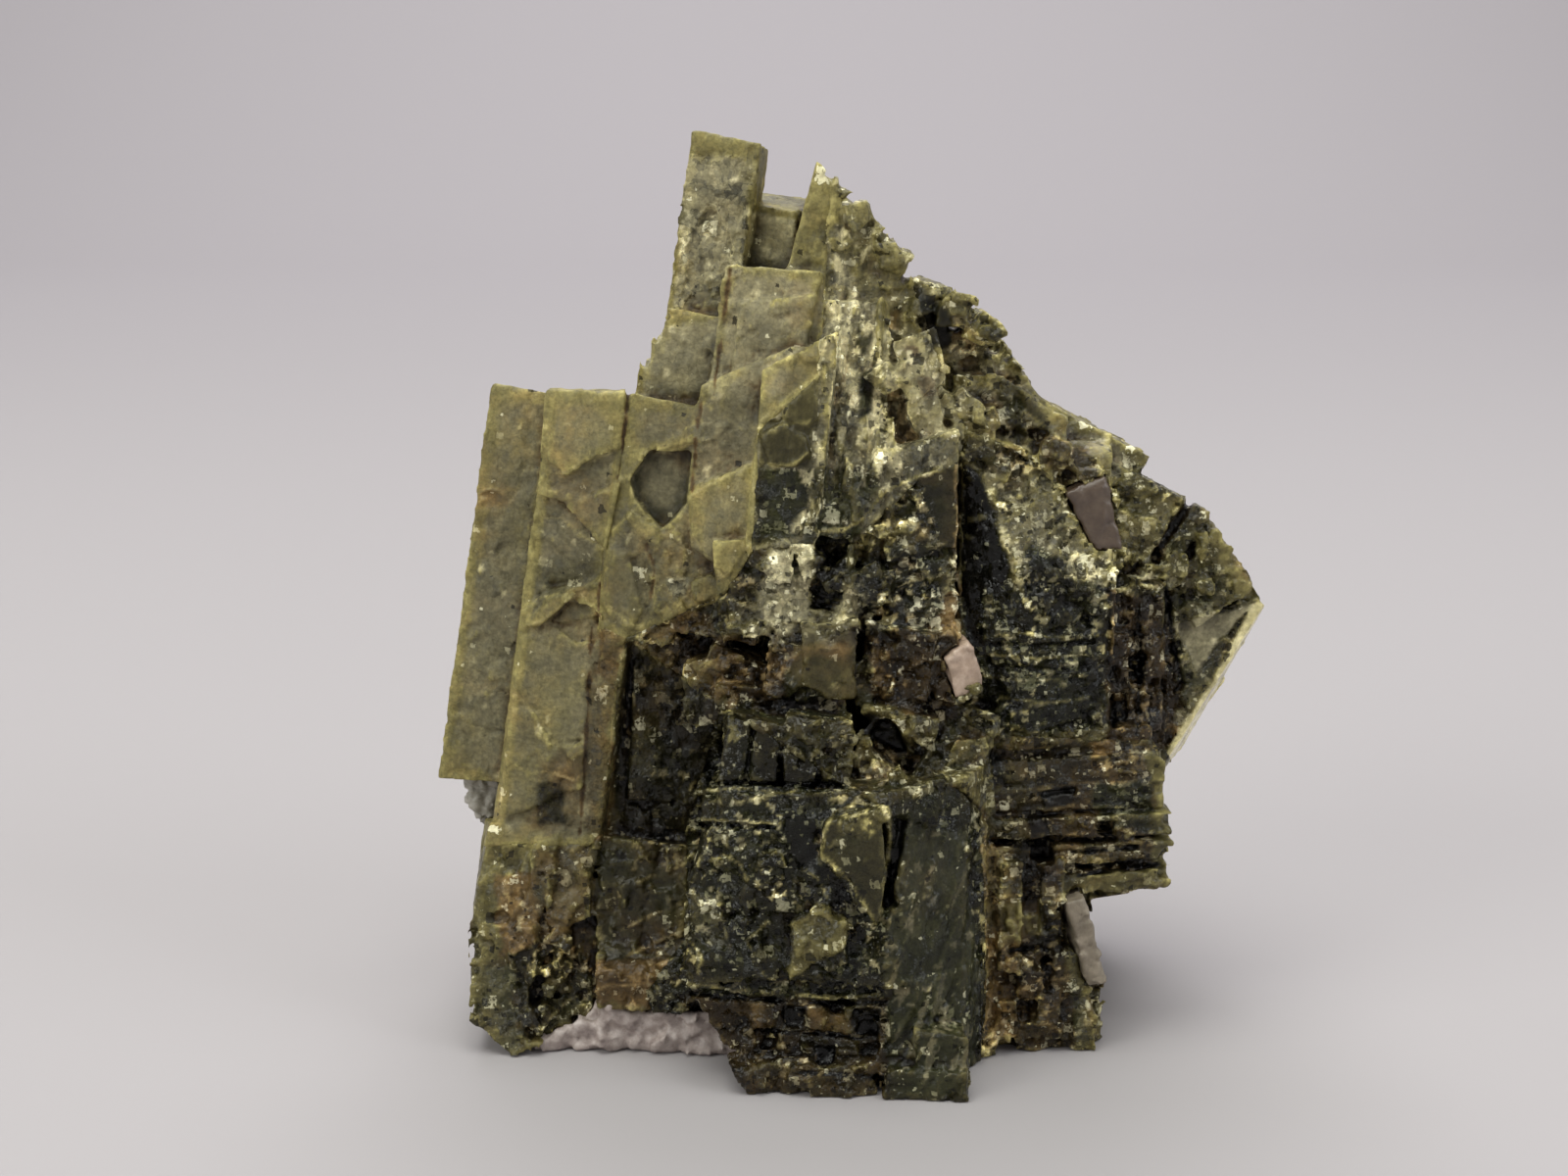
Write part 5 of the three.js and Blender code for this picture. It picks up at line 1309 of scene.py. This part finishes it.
THIN_PLATES = (LEVEL, (3.2, 0.42, 1.4), 81)
SLABS = (LEVEL, (1.5, 1.5, 1.0), 82)
STACK_CHIPS = (LEVEL, (0.7, 0.4, 0.5), 83)
PILE = [(1000, 745), (1215, 745), (1215, 920), (1000, 920)]
FACET_BLOCK = [(958, 772), (980, 752), (1020, 758), (1024, 790), (1010, 830), (985, 815), (962, 796)]
STACK_RIMS = {
    "facet block, top": [(960, 778), (980, 752), (1000, 762), (1022, 760)],
    "facet block, foot": [(962, 798), (985, 800), (1012, 792)],
    "pale ledge": [(1060, 806), (1100, 798), (1130, 800)],
    "second ledge": [(1066, 828), (1096, 822)],
    "third ledge": [(1090, 852), (1140, 846), (1168, 852)],
    "fourth ledge": [(1096, 866), (1140, 862), (1168, 856), (1180, 860)],
    "fifth ledge": [(1080, 890), (1130, 884), (1186, 878)],
    "foot of the stack": [(1062, 920), (1110, 918), (1160, 908), (1195, 900)],
    "slab edge": [(1020, 964), (1024, 940), (1036, 920)],
    "slab foot": [(1020, 966), (1042, 960), (1062, 950)],
    "slab joint": [(1036, 940), (1060, 932)],
    "lower slab": [(1026, 992), (1040, 972), (1052, 990)],
}
STACK_CRACKS = {
    "gap over the pale ledge": [(1064, 812), (1096, 806)],
    "long gap": [(1010, 858), (1050, 860), (1080, 856)],
    "gap in the ledge": [(1096, 870), (1140, 866), (1160, 864)],
    "wide gap": [(1100, 893), (1140, 888), (1180, 882)],
    "gap under the slabs": [(1020, 972), (1060, 966), (1070, 970)],
    "gap by the block": [(962, 804), (985, 812), (1000, 830)],
}
STACK_AREAS = {
    "facet block": (FACET_BLOCK, 3, 5, {"tone": 0.34, "olive": 0.5, "brown": 0.2}),
    "its dark right end": ([(1005, 770), (1024, 765), (1026, 800), (1008, 800)], 3, 5, {"tone": 0.14}),
    "dark slab": ([(1062, 804), (1096, 804), (1094, 822), (1064, 824)], 2, 2, {"tone": 0.09, "chips": 0.1}),
    "second dark slab": ([(1046, 832), (1064, 830), (1072, 852), (1052, 856)], 2, 3, {"tone": 0.10, "chips": 0.1}),
    "dark green": ([(1120, 800), (1175, 795), (1180, 845), (1120, 845)], 4, 6,
                   {"tone": 0.19, "olive": 0.2, "brown": 0.0, "chips": 1.0}),
    "brown slabs": ([(1030, 872), (1075, 872), (1086, 905), (1045, 910)], 3, 4, {"tone": 0.17, "brown": 0.7}),
    "olive plate": ([(1082, 895), (1195, 880), (1195, 905), (1086, 920)], 2, 3,
                    {"tone": 0.38, "olive": 0.8, "brown": 0.3, "chips": 0.3}),
    "edge plate": ([(1080, 866), (1170, 856), (1168, 864), (1084, 880)], 2, 3, {"tone": 0.36, "olive": 0.5}),
    # painted light: lighter and olive for light coming through the thin edge
    "translucent right edge": ([(1170, 772), (1190, 762), (1210, 860), (1204, 892), (1174, 892), (1178, 820)],
                               4, 4, {"tone": 0.40, "olive": 1.0, "brown": 0.0, "chips": 0.2}),
    "orange flake": ([(1112, 758), (1138, 754), (1136, 770), (1114, 774)], 2, 3,
                     {"tone": 0.46, "brown": 0.9, "olive": 0.7}),
    "pale end": ([(1150, 756), (1165, 756), (1168, 790), (1156, 790)], 2, 3, {"tone": 0.45, "cream": 0.3}),
    # painted shade: near-black for the shade in a small hole at the long gap
    "dark hole": ([(1042, 855), (1054, 855), (1054, 868), (1042, 868)], 2, 2, {"tone": 0.06}),
    "mosaic": ([(990, 840), (1030, 870), (1040, 980), (1030, 1090), (990, 1090)], 4, 6,
               {"tone": 0.45, "brown": 0.6, "olive": 0.6, "chips": 0.9}),
    "slabs": ([(1020, 925), (1060, 918), (1066, 952), (1024, 966)], 2, 3,
              {"tone": 0.40, "olive": 0.8, "brown": 0.4, "chips": 0.2}),
    "dark right of the slabs": ([(1062, 925), (1085, 925), (1085, 990), (1064, 990)], 3, 4, {"tone": 0.15}),
    "grey-green strip": ([(1084, 910), (1098, 915), (1110, 1000), (1125, 1080), (1100, 1085), (1092, 1000)], 3, 4,
                         {"tone": 0.34, "olive": 0.2, "brown": 0.1}),
    "right foot": ([(1110, 1005), (1135, 1010), (1138, 1080), (1108, 1085)], 3, 4,
                   {"tone": 0.34, "olive": 0.6, "brown": 0.3}),
}

stone = rough_out("diopside_cluster", FINE, STACK_STONE)
piled = within(stone, PILE, 3, 5)
block = within(stone, FACET_BLOCK, 3, 4)
front = on_front(stone)
facet(stone, THIN_PLATES, 0.03, 0.24, piled * (1 - block) * front)
facet(stone, (LEVEL, (1.5, 0.8, 0.9), 84), 0.12, 0.15, piled * front)
break_up(stone, LEVEL, (1.5, 1.6, 1.0), 1.2, 0.45, 0.05, 85, (1 - piled) * (1 - block) * front, 0.64, 0.3, 1.3)
facet(stone, SLABS, 0.18, 0.35, (1 - piled) * (1 - block) * front)
facet(stone, (LEVEL, (1.0, 0.8, 0.8), 86), 0.25, 0.12, (1 - 0.6 * piled) * front)
lift(stone, STACK_CHIPS, 0.25, 0.15, front)
cut_lines(stone, STACK_RIMS, 1.1, -0.08)
cut_lines(stone, STACK_CRACKS, 1.8, 0.40)
skin = draw_off(stone, "stacked_plates")
paint(skin, tone=0.26, olive=0.45, brown=0.6, shine=0.5, chips=0.9)
tint_areas(skin, STACK_AREAS)
layer = 2 * chance(THIN_PLATES[2] + 6, *uneven_cells(skin.inner, *THIN_PLATES)[0]) - 1
skin.shades["tone"] *= 1 + 0.2 * layer * within(skin, PILE, 3, 5)
# Painted highlight along the ledges and slab edges.
tint_lines(skin, STACK_RIMS, 1.1, {"tone": 0.46, "olive": 0.8, "cream": 0.3})
# Painted shade: the gaps between the plates and slabs are painted near-black.
tint_lines(skin, STACK_CRACKS, 1.8, {"tone": 0.06})
weather(skin, SLABS, STACK_CHIPS, mottle=0.16, rim=0.15, hollow=0.5)
finish_piece(skin, "stacked_plates", "diopside_cluster", glassy_diopside)


# The lower left
# A sunken brown-black crystal, a thin fin left of it, and a rounded lobe with a crumbly pit.

LOWER_LEFT = [
    (640, 652), (735, 720), (700, 850), (700, 960), (660, 1010), (700, 1160), (420, 1160), (420, 840),
    (478, 862), (600, 862), (618, 850), (628, 700)]
PIT = [(520, 975), (580, 955), (610, 1000), (595, 1050), (530, 1055)]
RECESS = [(640, 655), (740, 715), (735, 850), (700, 870), (632, 850), (630, 720)]
LOBE = [(478, 860), (600, 860), (600, 950), (575, 955), (520, 975), (478, 985)]
RECESS_FACES = (PALE, (1.6, 2.4, 1.2), 91)
RECESS_CHIPS = (PALE, (0.5, 0.7, 0.5), 92)
LOWER_RIMS = {
    "fin": [(604, 700), (600, 760), (596, 850)],
    "fin, right": [(626, 700), (620, 780), (612, 850)],
    "lobe ridge": [(540, 870), (548, 900), (546, 940), (530, 970)],
    "lobe ledge": [(500, 890), (515, 900), (512, 940)],
    "lobe top": [(496, 852), (530, 858), (560, 856), (600, 862)],
    "recess scratch": [(650, 900), (680, 890), (706, 878)],
    "second scratch": [(632, 950), (660, 936), (694, 922)],
    "third scratch": [(640, 975), (668, 962), (700, 948)],
    "brown edge": [(610, 985), (650, 1000), (690, 992)],
    "rim over the calcite": [(560, 1040), (580, 1020), (620, 1006), (690, 1004)],
}
LOWER_AREAS = {
    "recess": (RECESS, 4, 6, {"tone": 0.15, "brown": 0.5, "chips": 0.7}),
    "olive in the recess": ([(650, 690), (680, 700), (670, 800), (645, 790)], 5, 8, {"tone": 0.24, "olive": 0.5}),
    "below it": ([(610, 870), (720, 860), (715, 990), (610, 990)], 5, 6,
                 {"tone": 0.24, "brown": 0.4, "olive": 0.4, "chips": 0.3}),
    "brown foot": ([(600, 980), (700, 975), (690, 1030), (600, 1020)], 4, 6, {"tone": 0.33, "brown": 1.0}),
    "fin": ([(600, 700), (628, 690), (622, 860), (600, 860)], 3, 4, {"tone": 0.36, "brown": 0.8}),
    "lobe, left": ([(478, 860), (545, 860), (540, 975), (480, 985)], 4, 5, {"tone": 0.40, "olive": 0.8, "brown": 0.1}),
    "lobe, tan": ([(505, 895), (548, 890), (545, 975), (510, 975)], 4, 7, {"tone": 0.46, "brown": 0.8, "cream": 0.2}),
    "lobe, right": ([(545, 865), (600, 865), (600, 950), (560, 960)], 4, 7, {"tone": 0.38, "brown": 0.6}),
    "pit": (PIT, 4, 6, {"tone": 0.24, "brown": 0.3, "chips": 1.8}),
    "blue-green rim": ([(470, 985), (522, 985), (530, 1085), (480, 1060)], 4, 5,
                       {"tone": 0.34, "olive": 0.2, "brown": 0.1, "chips": 0.8}),
}

stone = rough_out("diopside_cluster", FINE, LOWER_LEFT)
pit = within(stone, PIT)
recess = within(stone, RECESS, 4, 5)
front = on_front(stone)
facet(stone, RECESS_FACES, 0.16, 0.22, (1 - pit) * front)
facet(stone, (PALE, (1.0, 1.2, 0.9), 93), 0.25, 0.14, (1 - 0.4 * recess) * front)
facet(stone, (CRUMBS, (1.0, 0.9, 0.9), 94), 0.5, 0.6, pit * front)
lift(stone, RECESS_CHIPS, 0.20, 0.12, front)
cut_lines(stone, LOWER_RIMS, 1.1, -0.07)
skin = draw_off(stone, "lower_left_crystals")
paint(skin, tone=0.34, olive=0.35, brown=0.45, shine=0.5, chips=0.5)
tint_areas(skin, LOWER_AREAS)
# Painted highlight along the edges of the fin and the lobe and over the calcite; the scratch lines are painted lighter
# too.
tint_lines(skin, LOWER_RIMS, 1.1, {"tone": 0.46, "olive": 0.5, "cream": 0.3})
weather(skin, RECESS_FACES, RECESS_CHIPS, mottle=0.16, rim=0.16, hollow=0.6)
finish_piece(skin, "lower_left_crystals", "diopside_cluster", glassy_diopside)


# The back
# The photograph does not show it. It is made as the back of such a cluster usually is: more blades
# of the same lean, duller and with broken ends.

BACK_FACES = (PALE, (1.7, 2.2, 1.2), 97)
BACK_CHIPS = (PALE, (0.7, 0.9, 0.6), 98)

stone = rough_out("diopside_cluster", COARSE, None, MIDDLE, 22,
                  box=(np.array([-32, MIDDLE - 1, -1.0]), np.array([32, 22, 66.0])))
flake(stone, ZIGZAG, 1.9, 0.12, 5, 96)
worn = smooth(wander(stone.on_face, 6.0, 96), -0.1, 0.4)
facet(stone, BACK_FACES, 0.30, 0.40, worn)
facet(stone, (PALE, (0.9, 1.1, 0.9), 99), 0.35, 0.30, worn)
lift(stone, BACK_CHIPS, 0.20, 0.15, worn)
skin = draw_off(stone, "blades_of_the_back", merge=0.04)
paint(skin, tone=0.44, olive=0.4, brown=0.3, shine=0.4, chips=0.3)
weather(skin, BACK_FACES, BACK_CHIPS, mottle=0.16, rim=0.14, pale=0.18)
finish_piece(skin, "blades_of_the_back", "diopside_cluster", satin_diopside)


# The calcite remnants
# Calcite is what the crystals grew in: soft, white to lilac and mauve, with a pearly cleavage.

def calcite(name, codes, roughness):
    """Calcite, IOR 1.6: milky, with pearly cleavage. The eye sees cloudy patches of three near
    colours, and a fine broken grain."""
    material = bpy.data.materials.new(name)
    material.use_nodes = True
    tree = material.node_tree
    shader = tree.nodes["Principled BSDF"]
    place = add(tree, "ShaderNodeTexCoord").outputs["Object"]
    mottle = add(tree, "ShaderNodeTexNoise", {
        "Vector": place, "Scale": 1000 / 0.9, "Detail": 5.0, "Roughness": 0.65}).outputs["Fac"]
    ramp = add(tree, "ShaderNodeValToRGB", {"Fac": mottle})
    ramp.color_ramp.elements.new(0.5)
    for element, where, code in zip(ramp.color_ramp.elements, (0.3, 0.5, 0.7), codes):
        element.position = where
        element.color = linear(code)
    tree.links.new(ramp.outputs["Color"], shader.inputs["Base Color"])
    shader.inputs["Roughness"].default_value = roughness
    shader.inputs["IOR"].default_value = 1.6
    bump = add(tree, "ShaderNodeBump", {"Height": mottle, "Distance": 0.00015, "Strength": 0.6})
    tree.links.new(bump.outputs[0], shader.inputs["Normal"])
    return material


milky_calcite = calcite("milky lilac calcite", ("#7d706c", "#a3968f", "#c2b8b2"), 0.45)
grey_calcite = calcite("grey-white calcite", ("#6d6a5f", "#908c80", "#aeaaa0"), 0.5)
pink_calcite = calcite("pinkish calcite", ("#8d7a69", "#a8927f", "#c0ac99"), 0.4)
tan_calcite = calcite("tan calcite", ("#665d4e", "#7c7261", "#908574"), 0.5)
mauve_calcite = calcite("mauve calcite", ("#413329", "#4e4033", "#5b4d3f"), 0.4)
RHOMB = directions(20, 25, 30)

for node, slot, voxel, material in (
        ("calcite_base", "calcite", COARSE, milky_calcite), ("calcite_left", "calcite", FINE, grey_calcite),
        ("calcite_strip", "calcite", FINE, tan_calcite), ("calcite_chip", "calcite", FINE, pink_calcite),
        ("calcite_grain", "calcite_mauve", FINE, mauve_calcite)):
    low, high = (np.array(c) * 1000 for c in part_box(node))
    stone = rough_out(node, voxel, None, -30, 30, grow=0.2, box=(low - 1, high + 1))
    rough = 1.0 if node in ("calcite_base", "calcite_left") else 0.35
    facet(stone, (RHOMB, (1.4, 1.1, 1.0), 101), 0.45, 0.45 * rough, rough)
    facet(stone, (RHOMB, (0.6, 0.5, 0.5), 102), 0.45, 0.22 * rough, rough)
    piece = node.replace("calcite", "calcite_piece")
    skin = draw_off(stone, piece, merge=0.04)
    finish_piece(skin, piece, node, material)
